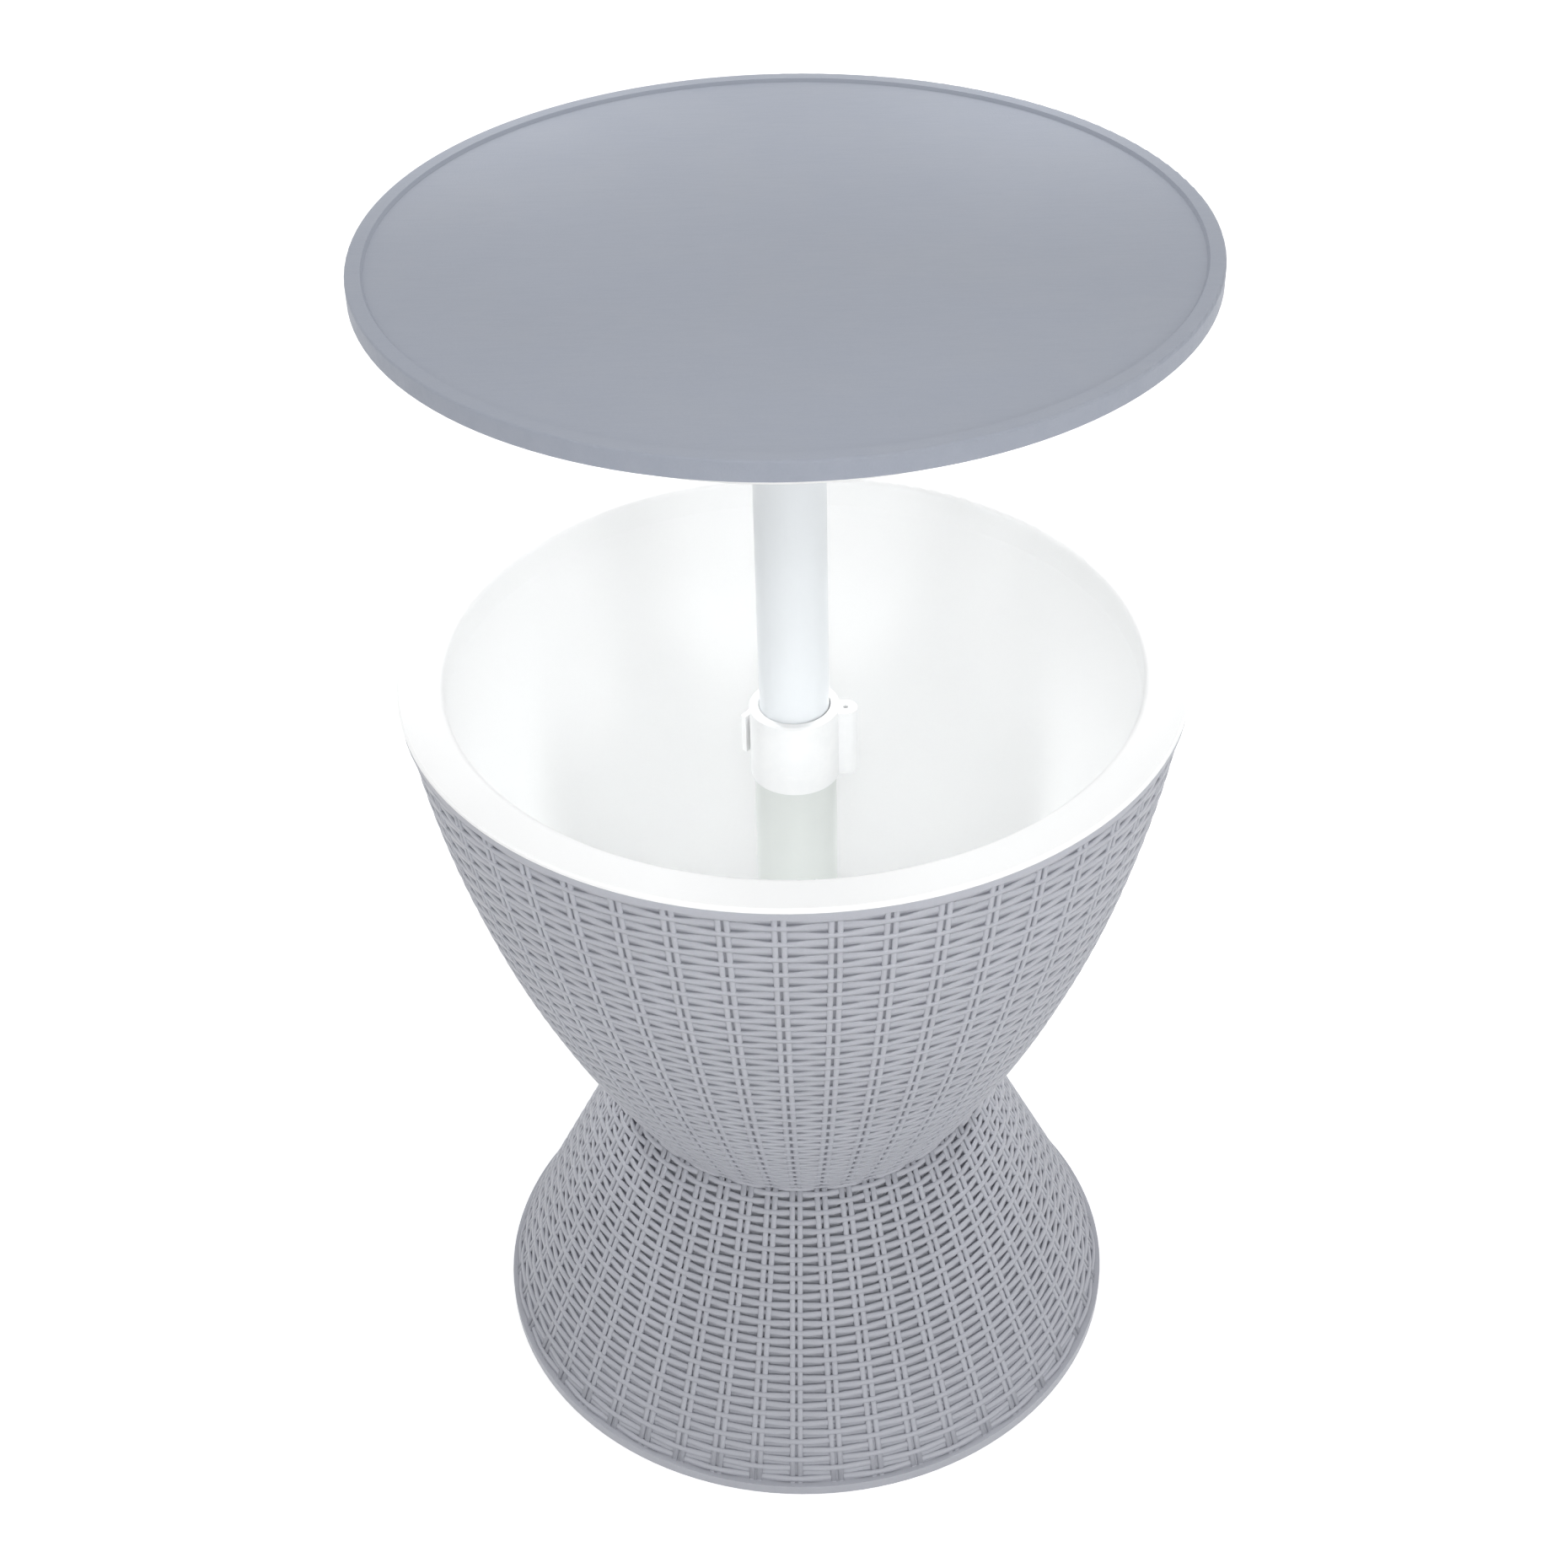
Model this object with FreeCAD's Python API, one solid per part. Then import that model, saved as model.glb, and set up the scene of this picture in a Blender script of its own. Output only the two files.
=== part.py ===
"""Round patio cooler table: a woven-look bowl and base, an ice bucket and a lifting top on a pole.

The pole stands on the +Z axis, the floor is z = 0 and the front faces -Y.
The top is modelled raised. All lengths are in millimetres.
"""
import FreeCAD, Part
import math
import os

Vector = FreeCAD.Vector
UP = Vector(0, 0, 1)
ORIGIN = Vector(0, 0, 0)

# Heights of the whole table
TABLE_HEIGHT = 838.0
FLANGE_TOP = 554.0
WAIST_Z = 203.0

# Table top: tray, raised rim and upright skirt
LID_INSET = 2.5
LID_DEPTH = 12.0
LID_EDGE_ROUND = 1.5
TRAY_BORDER = 10.5
TRAY_STEP = 2.0
TRAY_STEP_RUN = 1.5
LID_WALL = 3.0
LID_RIB_COUNT = 24
LID_RIB_T = 2.2
LID_RIB_RING_R = 120.0

# White panel under the top, with the rim that drops into the bucket
PANEL_T = 3.0
PANEL_LIFT = 1.0
PANEL_GAP = 0.4
PLUG_ROOM = 6.0
PLUG_T = 3.0
PLUG_DROP = 22.0
PLUG_LEAD = 1.2
RIM_SCREW_COUNT = 12
RIM_SCREW_INSET = 13.0

# Pole
UPPER_OD = 45.0
UPPER_WALL = 2.0
BUSH_T = 1.9
LOWER_WALL = 2.15
POLE_TAIL = 58.0
POLE_OVERLAP = 83.0
RUN_GAP = 0.1
PRESS_GAP = 0.05
SLIP_GAP = 0.3
FOOT_FLANGE_W = 12.25
FOOT_FLANGE_T = 3.0
CAP_PLUG_DEPTH = 14.0
CAP_FLANGE_T = 4.0
CAP_BORE_R = 6.0
CAP_WALL = 2.5
RING_H = 2.0

# Lock collar, its lug and the cam lever on an upright pin
COLLAR_WALL = 2.25
COLLAR_SINK = 89.5
COLLAR_H = 52.5
COLLAR_GRIP = 21.5
SHOULDER_T = 2.0
COLLAR_ROUND = 1.2
COLLAR_LEAD = 0.8
PIN_OFFSET = 4.0
PIN_R = 2.0
PIN_RECESS = 1.5
PIN_RUN = 0.05
LUG_R = 7.5
LUG_SINK = 4.0
LUG_TAB = 10.0
CAM_R = 4.4
CAM_THROW = 0.45
CAM_ROOM = 0.6
LEVER_GAP = 0.4
LEVER_T = 3.5
LEVER_START_DEG = 2.0
LEVER_END_DEG = 158.0
LEVER_TIP_LEN = 7.0
LEVER_TIP_DEG = 18.0
SHOE_W = 11.6
SHOE_CAM_GAP = 0.2
SHOE_SIDE_GAP = 0.3
SHOE_FACE_GAP = 0.05

# Hub under the top
HUB_WALL = 6.5
HUB_DROP = 35.0
HUB_FLANGE_W = 26.0
HUB_FLANGE_T = 4.0
HUB_FILLET = 6.0
HUB_SCREW_COUNT = 6
HUB_SCREW_OUT = 14.0
HUB_BOLT_R = 3.0
HUB_BOLT_DROP = 22.0
HUB_BOLT_HEAD_R = 5.5
HUB_BOLT_HEAD_T = 3.5
HUB_NUT_T = 5.0

# Screws
SCREW_R = 2.0
SCREW_HEAD_R = 4.0
SCREW_HEAD_T = 2.5
SCREW_CROSS_L = 4.8
SCREW_CROSS_W = 1.0
SCREW_CROSS_D = 1.4
SCREW_CLEAR = 0.2
SCREW_TIP_SKIN = 1.5

# Bucket
FLANGE_LAP = 0.7
FLANGE_T = 3.0
FLANGE_ROUND = 1.2
MOUTH_SHELF = 24.7
MOUTH_ROUND = 4.0
MOUTH_STRAIGHT = 22.0
BUCKET_MID_ROOM = 24.2
BUCKET_LOW_ROOM = 7.0
BUCKET_RISE = 35.0
BUCKET_CORNER = 14.0
BUCKET_WALL = 3.0
SEAL_T = 2.0
SEAL_INSET = 1.0

# Bowl: the smooth wall that carries the woven relief
BOWL_RIM_R = 249.3
BOWL_RIM_H = 5.5
BOWL_RIM_STEP = 3.6
BOWL_BULGE = 19.85
BOWL_MID_H = 169.0
BOWL_WAIST_R = 125.0
BOWL_WALL = 3.0
BOWL_FLOOR_T = 4.0
BOWL_RIB_COUNT = 12
BOWL_RIB_T = 2.5
BOWL_RIB_IN = 63.0
BOWL_RIB_H = 8.0
BOWL_BOSS_R = 5.0
BOWL_BOSS_H = 10.0
RIB_FIRST_DEG = 15.0
RIB_ROOT = 1.0

# Base: the smooth wall that carries the woven relief
BASE_R = 223.0
BASE_BAND_H = 8.0
BASE_BAND_STEP = 4.4
BASE_NECK_STEP = 2.5
BASE_WALL = 3.5
BASE_FOOT_W = 14.0
BASE_FOOT_T = 4.0
BASE_PLATE_T = 5.0
BASE_RIB_COUNT = 12
BASE_RIB_T = 3.0
BASE_RING_OUT = 14.0
BASE_RIB_DROP = 58.0
BASE_RING_T = 2.5
BASE_RING_H = 10.0

# Upright double stakes of the weave, raised on the walls of bowl and base
STAKE_PAIRS = 48
STAKE_FIRST_DEG = -93.0
STAKE_W = 3.0
STAKE_SLIT = 2.2
STAKE_H = 1.15
STAKE_ROOT = 0.8

# Pole nut under the base plate
NUT_W = 11.25
NUT_H = 16.0
NUT_GRIP_COUNT = 8
NUT_GRIP_R = 5.0
HOLE_GAP = 0.3

# Waist screws, from the base plate up into the bowl's floor
WAIST_SCREW_COUNT = 6
WAIST_SCREW_INSET = 37.0

# Drain through the bucket's floor, behind the pole
DRAIN_SPACE = 16.0
DRAIN_BORE_R = 8.0
DRAIN_WALL = 3.0
DRAIN_LIP_R = 17.0
DRAIN_LIP_T = 3.0
DRAIN_SEAL_T = 2.0
DRAIN_SPOUT_DROP = 14.0
DRAIN_NUT_R = 15.5
DRAIN_NUT_H = 7.0
DRAIN_LEAD = 1.0
STOPPER_GAP = 0.3
STOPPER_STEM = 15.0
STOPPER_TAPER = 0.8
STOPPER_HEAD_R = 12.5
STOPPER_HEAD_T = 3.5
STOPPER_GRIP_T = 4.0
STOPPER_GRIP_W = 16.0
STOPPER_GRIP_H = 11.0

# Radii worked out from the sizes above
BOWL_TOP_R = BOWL_RIM_R - BOWL_RIM_STEP
BOWL_MID_R = (BOWL_TOP_R + BOWL_WAIST_R) / 2 + BOWL_BULGE
FLANGE_R = BOWL_RIM_R + FLANGE_LAP
MOUTH_R = BOWL_TOP_R - MOUTH_SHELF
BUCKET_MID_R = BOWL_MID_R - BUCKET_MID_ROOM
BUCKET_LOW_R = BOWL_WAIST_R - BUCKET_LOW_ROOM
LID_R = FLANGE_R - LID_INSET
TRAY_R = LID_R - TRAY_BORDER
PLUG_R = MOUTH_R - PLUG_ROOM
RIM_SCREW_R = PLUG_R - RIM_SCREW_INSET
UPPER_R = UPPER_OD / 2
LOWER_IN_R = UPPER_R + BUSH_T + 2 * RUN_GAP
LOWER_R = LOWER_IN_R + LOWER_WALL
COLLAR_R = LOWER_R + COLLAR_WALL
PIN_X = COLLAR_R + PIN_OFFSET
HUB_R = UPPER_R + HUB_WALL
HUB_FLANGE_R = HUB_R + HUB_FLANGE_W
HUB_SCREW_R = HUB_R + HUB_SCREW_OUT
FOOT_FLANGE_R = LOWER_R + FOOT_FLANGE_W
NUT_R = LOWER_R + NUT_W
BASE_RIB_R = NUT_R + BASE_RING_OUT
WAIST_SCREW_R = BOWL_WAIST_R - WAIST_SCREW_INSET
BOWL_RIB_R = BOWL_WAIST_R - BOWL_RIB_IN
DRAIN_Y = FOOT_FLANGE_R + DRAIN_SPACE + DRAIN_LIP_R

# Places worked out from the sizes above
LID_BOTTOM = TABLE_HEIGHT - LID_DEPTH
TRAY_Z = TABLE_HEIGHT - TRAY_STEP
PLATE_BOTTOM = TRAY_Z - LID_WALL
PANEL_BOTTOM = LID_BOTTOM + PANEL_LIFT
PANEL_TOP = PANEL_BOTTOM + PANEL_T
LID_SCREW_TIP = TRAY_Z - SCREW_TIP_SKIN - SCREW_CLEAR
HUB_BOTTOM = PANEL_BOTTOM - HUB_DROP
HUB_BOLT_Z = PANEL_BOTTOM - HUB_BOLT_DROP
COLLAR_BOTTOM = FLANGE_TOP - COLLAR_SINK
COLLAR_TOP = COLLAR_BOTTOM + COLLAR_H
SHOULDER_Z = COLLAR_BOTTOM + COLLAR_GRIP
LUG_TOP = COLLAR_TOP - LUG_SINK
LUG_LOW = COLLAR_BOTTOM + LUG_TAB
LUG_HIGH = LUG_TOP - LUG_TAB
UPPER_BOTTOM = COLLAR_TOP - POLE_OVERLAP
UPPER_TOP = PANEL_BOTTOM - SLIP_GAP
BUSH_OUT_R = LOWER_IN_R - RUN_GAP
BUSH_IN_R = UPPER_R + RUN_GAP
RING_TOP = SHOULDER_Z - SLIP_GAP
RING_BOTTOM = RING_TOP - RING_H
BUSH_TOP = RING_BOTTOM - SLIP_GAP
BUSH_BOTTOM = UPPER_BOTTOM + SLIP_GAP
FLANGE_BOTTOM = FLANGE_TOP - FLANGE_T
BOWL_WALL_TOP = FLANGE_BOTTOM - BOWL_RIM_H
BOWL_FLOOR_TOP = WAIST_Z + BOWL_FLOOR_T
BOWL_MID_Z = WAIST_Z + BOWL_MID_H
BUCKET_FLOOR_Z = WAIST_Z + BUCKET_RISE
BASE_PLATE_BOTTOM = WAIST_Z - BASE_PLATE_T
LOWER_BOTTOM = BASE_PLATE_BOTTOM - POLE_TAIL
BASE_WAIST_R = BOWL_WAIST_R - BASE_NECK_STEP
BASE_TOE_R = BASE_R - BASE_BAND_STEP
POLE_HOLE_R = LOWER_R + HOLE_GAP
DRAIN_TUBE_R = DRAIN_BORE_R + DRAIN_WALL
FOOT_FLANGE_Z = BUCKET_FLOOR_Z + SEAL_T


def profile(start, *steps):
    """Face in the XZ plane: each step is (r, z) for a line or (mid, end) for an arc."""
    def point(rz):
        return Vector(rz[0], 0, rz[1])
    edges = []
    here = start
    for step in steps + (start,):
        if isinstance(step[0], tuple):
            middle, end = step
            edges.append(Part.Arc(point(here), point(middle), point(end)).toShape())
        else:
            end = step
            edges.append(Part.LineSegment(point(here), point(end)).toShape())
        here = end
    return Part.Face(Part.Wire(edges))


def turned(start, *steps):
    """Solid of revolution about the pole's axis."""
    return profile(start, *steps).revolve(ORIGIN, UP, 360)


def rod(radius, low, high, x=0.0, y=0.0):
    """Upright cylinder between two heights."""
    return Part.makeCylinder(radius, high - low, Vector(x, y, low), UP)


def cross_rod(radius, y0, y1, z):
    """Level cylinder from front to back through the pole's axis."""
    return Part.makeCylinder(radius, y1 - y0, Vector(0, y0, z), Vector(0, 1, 0))


def ring(r_in, r_out, low, high):
    """Upright tube between two heights."""
    return rod(r_out, low, high).cut(rod(r_in, low, high))


def block(x0, x1, y0, y1, z0, z1):
    """Box between two corners."""
    return Part.makeBox(x1 - x0, y1 - y0, z1 - z0, Vector(x0, y0, z0))


def turned_by(shape, degrees):
    """Copy of a shape turned about the pole's axis."""
    copy = shape.copy()
    copy.rotate(ORIGIN, UP, degrees)
    return copy


def round_the_axis(shape, count, first=0.0):
    """Copies of a shape spread evenly round the pole's axis."""
    return [turned_by(shape, first + 360.0 * i / count) for i in range(count)]


def on_diagonal(centre, radius, degrees):
    """Point of an arc's corner: centre (r, z), radius and direction in the XZ plane."""
    a = math.radians(degrees)
    return (centre[0] + radius * math.cos(a), centre[1] + radius * math.sin(a))


def circle_r(top, middle, bottom):
    """Function r(z) of the circle through three (r, z) points that bulges outwards."""
    (r1, z1), (r2, z2), (r3, z3) = top, middle, bottom
    d = 2 * (r1 * (z2 - z3) + r2 * (z3 - z1) + r3 * (z1 - z2))
    s1, s2, s3 = r1 * r1 + z1 * z1, r2 * r2 + z2 * z2, r3 * r3 + z3 * z3
    rc = (s1 * (z2 - z3) + s2 * (z3 - z1) + s3 * (z1 - z2)) / d
    zc = (s1 * (r3 - r2) + s2 * (r1 - r3) + s3 * (r2 - r1)) / d
    radius = math.hypot(r1 - rc, z1 - zc)
    return lambda z: rc + math.sqrt(radius * radius - (z - zc) ** 2)


def double_stakes(side):
    """Pairs of stakes round a wall: each stake is as wide as STAKE_W, with the given face as its side."""
    left = side.extrude(Vector(0, STAKE_W, 0))
    right = left.copy()
    left.translate(Vector(0, STAKE_SLIT / 2, 0))
    right.translate(Vector(0, -STAKE_SLIT / 2 - STAKE_W, 0))
    return [stake for one in (left, right) for stake in round_the_axis(one, STAKE_PAIRS, STAKE_FIRST_DEG)]


def bowl_outer_r():
    """Outer radius of the bowl's wall at a height."""
    return circle_r((BOWL_TOP_R, BOWL_WALL_TOP), (BOWL_MID_R, BOWL_MID_Z), (BOWL_WAIST_R, WAIST_Z))


def bucket_inner_r():
    """Inner radius of the bucket's wall at a height, below its straight mouth."""
    top = (MOUTH_R, FLANGE_TOP - MOUTH_STRAIGHT)
    return circle_r(top, (BUCKET_MID_R, BOWL_MID_Z), (BUCKET_LOW_R, BUCKET_FLOOR_Z))


def screws(count, radius, head_low, tip, first=0.0):
    """Ring of cross-recessed screws, heads down, as one group of solids."""
    head = rod(SCREW_HEAD_R, head_low, head_low + SCREW_HEAD_T, radius).cut([
        block(radius - x / 2, radius + x / 2, -y / 2, y / 2, head_low, head_low + SCREW_CROSS_D)
        for x, y in ((SCREW_CROSS_L, SCREW_CROSS_W), (SCREW_CROSS_W, SCREW_CROSS_L))])
    shank = rod(SCREW_R, head_low + SCREW_HEAD_T, tip, radius)
    return round_the_axis(head.fuse(shank), count, first)


def screw_holes(count, radius, low, high, first=0.0):
    """Clearance holes for a ring of screws."""
    return round_the_axis(rod(SCREW_R + SCREW_CLEAR, low, high, radius), count, first)


def six_sided_nut(corner_r, height, bore_r):
    """Six-sided nut standing on the origin, with a plain bore."""
    corners = [turned_by(Part.Vertex(corner_r, 0, 0), 60 * i).Point for i in range(7)]
    return Part.Face(Part.makePolygon(corners)).extrude(Vector(0, 0, height)).cut(rod(bore_r, 0, height))


def make_tabletop():
    """Gray tray with a raised rim, an upright skirt and ribs under the plate."""
    corner = (LID_R - LID_EDGE_ROUND, TABLE_HEIGHT - LID_EDGE_ROUND)
    top = turned(
        (0, PLATE_BOTTOM), (LID_R - LID_WALL, PLATE_BOTTOM), (LID_R - LID_WALL, LID_BOTTOM),
        (LID_R, LID_BOTTOM), (LID_R, corner[1]),
        (on_diagonal(corner, LID_EDGE_ROUND, 45), (corner[0], TABLE_HEIGHT)),
        (TRAY_R + TRAY_STEP_RUN, TABLE_HEIGHT), (TRAY_R, TRAY_Z), (0, TRAY_Z))
    rib = block(HUB_R, LID_R - LID_WALL / 2, -LID_RIB_T / 2, LID_RIB_T / 2, PANEL_TOP, TRAY_Z - LID_WALL / 2)
    ribs = round_the_axis(rib, LID_RIB_COUNT, 180.0 / LID_RIB_COUNT)
    rings = [ring(r - LID_RIB_T / 2, r + LID_RIB_T / 2, PANEL_TOP, TRAY_Z - LID_WALL / 2)
             for r in (HUB_R, LID_RIB_RING_R)]
    bosses = [turned_by(rod(SCREW_HEAD_R, PANEL_TOP, TRAY_Z - LID_WALL / 2, r), 360.0 * i / n)
              for r, n in ((HUB_SCREW_R, HUB_SCREW_COUNT), (RIM_SCREW_R, RIM_SCREW_COUNT)) for i in range(n)]
    top = top.multiFuse(ribs + rings + bosses)
    holes = (screw_holes(HUB_SCREW_COUNT, HUB_SCREW_R, PANEL_TOP, TRAY_Z - SCREW_TIP_SKIN)
             + screw_holes(RIM_SCREW_COUNT, RIM_SCREW_R, PANEL_TOP, TRAY_Z - SCREW_TIP_SKIN))
    return top.cut(holes)


def make_lid_underside():
    """White panel under the top and the rim that drops into the bucket's mouth."""
    edge = LID_R - LID_WALL - PANEL_GAP
    low = PANEL_BOTTOM - PLUG_DROP
    panel = turned(
        (0, PANEL_BOTTOM), (PLUG_R - PLUG_T, PANEL_BOTTOM), (PLUG_R - PLUG_T, low),
        (PLUG_R - PLUG_LEAD, low), (PLUG_R, low + PLUG_LEAD), (PLUG_R, PANEL_BOTTOM),
        (edge, PANEL_BOTTOM), (edge, PANEL_TOP), (0, PANEL_TOP))
    holes = (screw_holes(HUB_SCREW_COUNT, HUB_SCREW_R, PANEL_BOTTOM, PANEL_TOP)
             + screw_holes(RIM_SCREW_COUNT, RIM_SCREW_R, PANEL_BOTTOM, PANEL_TOP))
    return panel.cut(holes)


def make_lid_hub():
    """Flanged socket under the top that takes the upper tube."""
    low = PANEL_BOTTOM - HUB_FLANGE_T
    bend = (HUB_R + HUB_FILLET, low - HUB_FILLET)
    hub = turned(
        (UPPER_R + RUN_GAP, HUB_BOTTOM), (HUB_R, HUB_BOTTOM), (HUB_R, bend[1]),
        (on_diagonal(bend, HUB_FILLET, 135), (bend[0], low)),
        (HUB_FLANGE_R, low), (HUB_FLANGE_R, PANEL_BOTTOM), (UPPER_R + RUN_GAP, PANEL_BOTTOM))
    return hub.cut(screw_holes(HUB_SCREW_COUNT, HUB_SCREW_R, low, PANEL_BOTTOM) + [hub_bolt_hole()])


def hub_bolt_hole():
    """Cross hole for the bolt that ties the tube to the hub."""
    return cross_rod(HUB_BOLT_R + SCREW_CLEAR, -HUB_FLANGE_R, HUB_FLANGE_R, HUB_BOLT_Z)


def make_hub_bolt():
    """Cross bolt through the hub and the tube, with its head at the front."""
    shank = cross_rod(HUB_BOLT_R, -HUB_R, HUB_R + HUB_NUT_T, HUB_BOLT_Z)
    head = cross_rod(HUB_BOLT_HEAD_R, -HUB_R - HUB_BOLT_HEAD_T, -HUB_R, HUB_BOLT_Z)
    return head.fuse(shank)


def make_hub_bolt_nut():
    """Six-sided nut on the cross bolt, at the back of the hub."""
    nut = six_sided_nut(HUB_BOLT_HEAD_R, HUB_NUT_T, HUB_BOLT_R + RUN_GAP)
    nut.rotate(ORIGIN, Vector(1, 0, 0), -90)
    nut.translate(Vector(0, HUB_R, HUB_BOLT_Z))
    return nut


def make_upper_tube():
    """Inner tube of the pole, with the cross hole at its top."""
    return ring(UPPER_R - UPPER_WALL, UPPER_R, UPPER_BOTTOM, UPPER_TOP).cut(hub_bolt_hole())


def tube_cap(plug_r, flange_r, tube_end):
    """Flanged plug pressed up into a tube's lower end."""
    low = tube_end - CAP_FLANGE_T
    high = tube_end + CAP_PLUG_DEPTH
    return turned(
        (CAP_BORE_R, low), (flange_r, low), (flange_r, tube_end), (plug_r, tube_end), (plug_r, high),
        (plug_r - CAP_WALL, high), (plug_r - CAP_WALL, tube_end), (CAP_BORE_R, tube_end))


def make_upper_tube_cap():
    """Plug in the upper tube, whose flange carries the guide bush."""
    return tube_cap(UPPER_R - UPPER_WALL - RUN_GAP, BUSH_OUT_R - SLIP_GAP, UPPER_BOTTOM)


def make_guide_bush():
    """Sleeve that guides the upper tube in the lower one."""
    return ring(BUSH_IN_R, BUSH_OUT_R, BUSH_BOTTOM, BUSH_TOP)


def make_retaining_ring():
    """Ring on the upper tube that keeps the bush and meets the collar's shoulder."""
    return ring(UPPER_R + PRESS_GAP, BUSH_OUT_R - SLIP_GAP, RING_BOTTOM, RING_TOP)


def make_lower_tube():
    """Outer tube of the pole, with the flange that clamps the bucket's floor."""
    tube = ring(LOWER_IN_R, LOWER_R, LOWER_BOTTOM, SHOULDER_Z)
    root = LOWER_IN_R + LOWER_WALL / 2
    top = FOOT_FLANGE_Z + FOOT_FLANGE_T
    flange = turned(
        (root, FOOT_FLANGE_Z), (FOOT_FLANGE_R, FOOT_FLANGE_Z), (FOOT_FLANGE_R, top),
        (LOWER_R + FOOT_FLANGE_T, top), (LOWER_R, top + FOOT_FLANGE_T), (root, top + FOOT_FLANGE_T))
    return tube.fuse(flange)


def make_lower_tube_cap():
    """Plug in the lower tube's end, below the base plate."""
    return tube_cap(LOWER_IN_R - RUN_GAP, LOWER_R, LOWER_BOTTOM)


def make_lock_collar():
    """Clamp collar on the lower tube, with a two-tab lug for the lever on its right side."""
    body = turned(
        (LOWER_R + PRESS_GAP, COLLAR_BOTTOM), (COLLAR_R, COLLAR_BOTTOM),
        (COLLAR_R, COLLAR_TOP - COLLAR_ROUND), (COLLAR_R - COLLAR_ROUND, COLLAR_TOP),
        (UPPER_R + RUN_GAP + COLLAR_LEAD, COLLAR_TOP), (UPPER_R + RUN_GAP, COLLAR_TOP - COLLAR_LEAD),
        (UPPER_R + RUN_GAP, SHOULDER_Z), (LOWER_R + PRESS_GAP, SHOULDER_Z))
    lug = rod(LUG_R, COLLAR_BOTTOM, LUG_TOP, PIN_X).fuse(
        block(0, PIN_X, -LUG_R, LUG_R, COLLAR_BOTTOM, LUG_TOP))
    lug = lug.cut([rod(COLLAR_R - COLLAR_ROUND, COLLAR_BOTTOM, COLLAR_TOP),
                   block(0, PIN_X + LUG_R, 0, LUG_R, LUG_LOW, LUG_HIGH)])
    cam_room = rod(CAM_R + CAM_THROW + CAM_ROOM, LUG_LOW, LUG_HIGH, PIN_X)
    half = SHOE_W / 2 + SHOE_SIDE_GAP
    window = block(UPPER_R - UPPER_WALL, PIN_X, -half, half, SHOULDER_Z + SHOULDER_T, LUG_HIGH)
    pin_hole = rod(PIN_R, COLLAR_BOTTOM, LUG_TOP, PIN_X)
    return body.fuse(lug).cut([cam_room, window, pin_hole])


def make_lever_pin():
    """Upright pin of the lever, set a little below the lug's faces."""
    return rod(PIN_R, COLLAR_BOTTOM + PIN_RECESS, LUG_TOP - PIN_RECESS, PIN_X)


def sector(r_in, r_out, first, last, low, high):
    """Part of an upright tube between two angles."""
    def at(radius, degrees):
        a = math.radians(degrees)
        return Vector(radius * math.cos(a), radius * math.sin(a), low)
    half = (first + last) / 2
    edges = [Part.Arc(at(r_out, first), at(r_out, half), at(r_out, last)).toShape(),
             Part.LineSegment(at(r_out, last), at(r_in, last)).toShape(),
             Part.Arc(at(r_in, last), at(r_in, half), at(r_in, first)).toShape(),
             Part.LineSegment(at(r_in, first), at(r_out, first)).toShape()]
    return Part.Face(Part.Wire(edges)).extrude(Vector(0, 0, high - low))


def make_lock_lever():
    """Cam lever: eccentric knuckle, arm round the back of the collar and a finger tip."""
    low = LUG_LOW + SLIP_GAP
    high = LUG_HIGH - SLIP_GAP
    r_in = COLLAR_R + LEVER_GAP
    r_out = r_in + LEVER_T
    cam = rod(CAM_R, low, high, PIN_X - CAM_THROW)
    arm = sector(r_in, r_out, LEVER_START_DEG, LEVER_END_DEG, low, high)
    tip = block(r_in, r_out, 0, LEVER_TIP_LEN, low, high)
    tip.rotate(Vector(r_in, 0, 0), UP, -LEVER_TIP_DEG)
    tip = turned_by(tip, LEVER_END_DEG)
    lever = cam.fuse([arm, tip])
    return lever.cut(rod(PIN_R + PIN_RUN, low, high, PIN_X)).removeSplitter()


def make_clamp_shoe():
    """Shoe in the collar's window, which the cam presses on the upper tube."""
    outer = PIN_X - CAM_THROW - CAM_R - SHOE_CAM_GAP
    low = SHOULDER_Z + SHOULDER_T + SLIP_GAP
    shoe = block(UPPER_R - UPPER_WALL, outer, -SHOE_W / 2, SHOE_W / 2, low, LUG_HIGH - SLIP_GAP)
    return shoe.cut(rod(UPPER_R + SHOE_FACE_GAP, low, LUG_HIGH))


def base_outer_r(z):
    """Outer radius of the base's straight wall at a height."""
    rise = (z - BASE_BAND_H) / (WAIST_Z - BASE_BAND_H)
    return BASE_TOE_R + (BASE_WAIST_R - BASE_TOE_R) * rise


def base_inner_r(z):
    """Inner radius of the base's wall at a height."""
    lean = math.hypot(BASE_TOE_R - BASE_WAIST_R, WAIST_Z - BASE_BAND_H) / (WAIST_Z - BASE_BAND_H)
    return base_outer_r(z) - BASE_WALL * lean


def drain_hole(radius, low, high):
    """Upright hole on the drain's axis."""
    return rod(radius, low, high, 0, DRAIN_Y)


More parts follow.
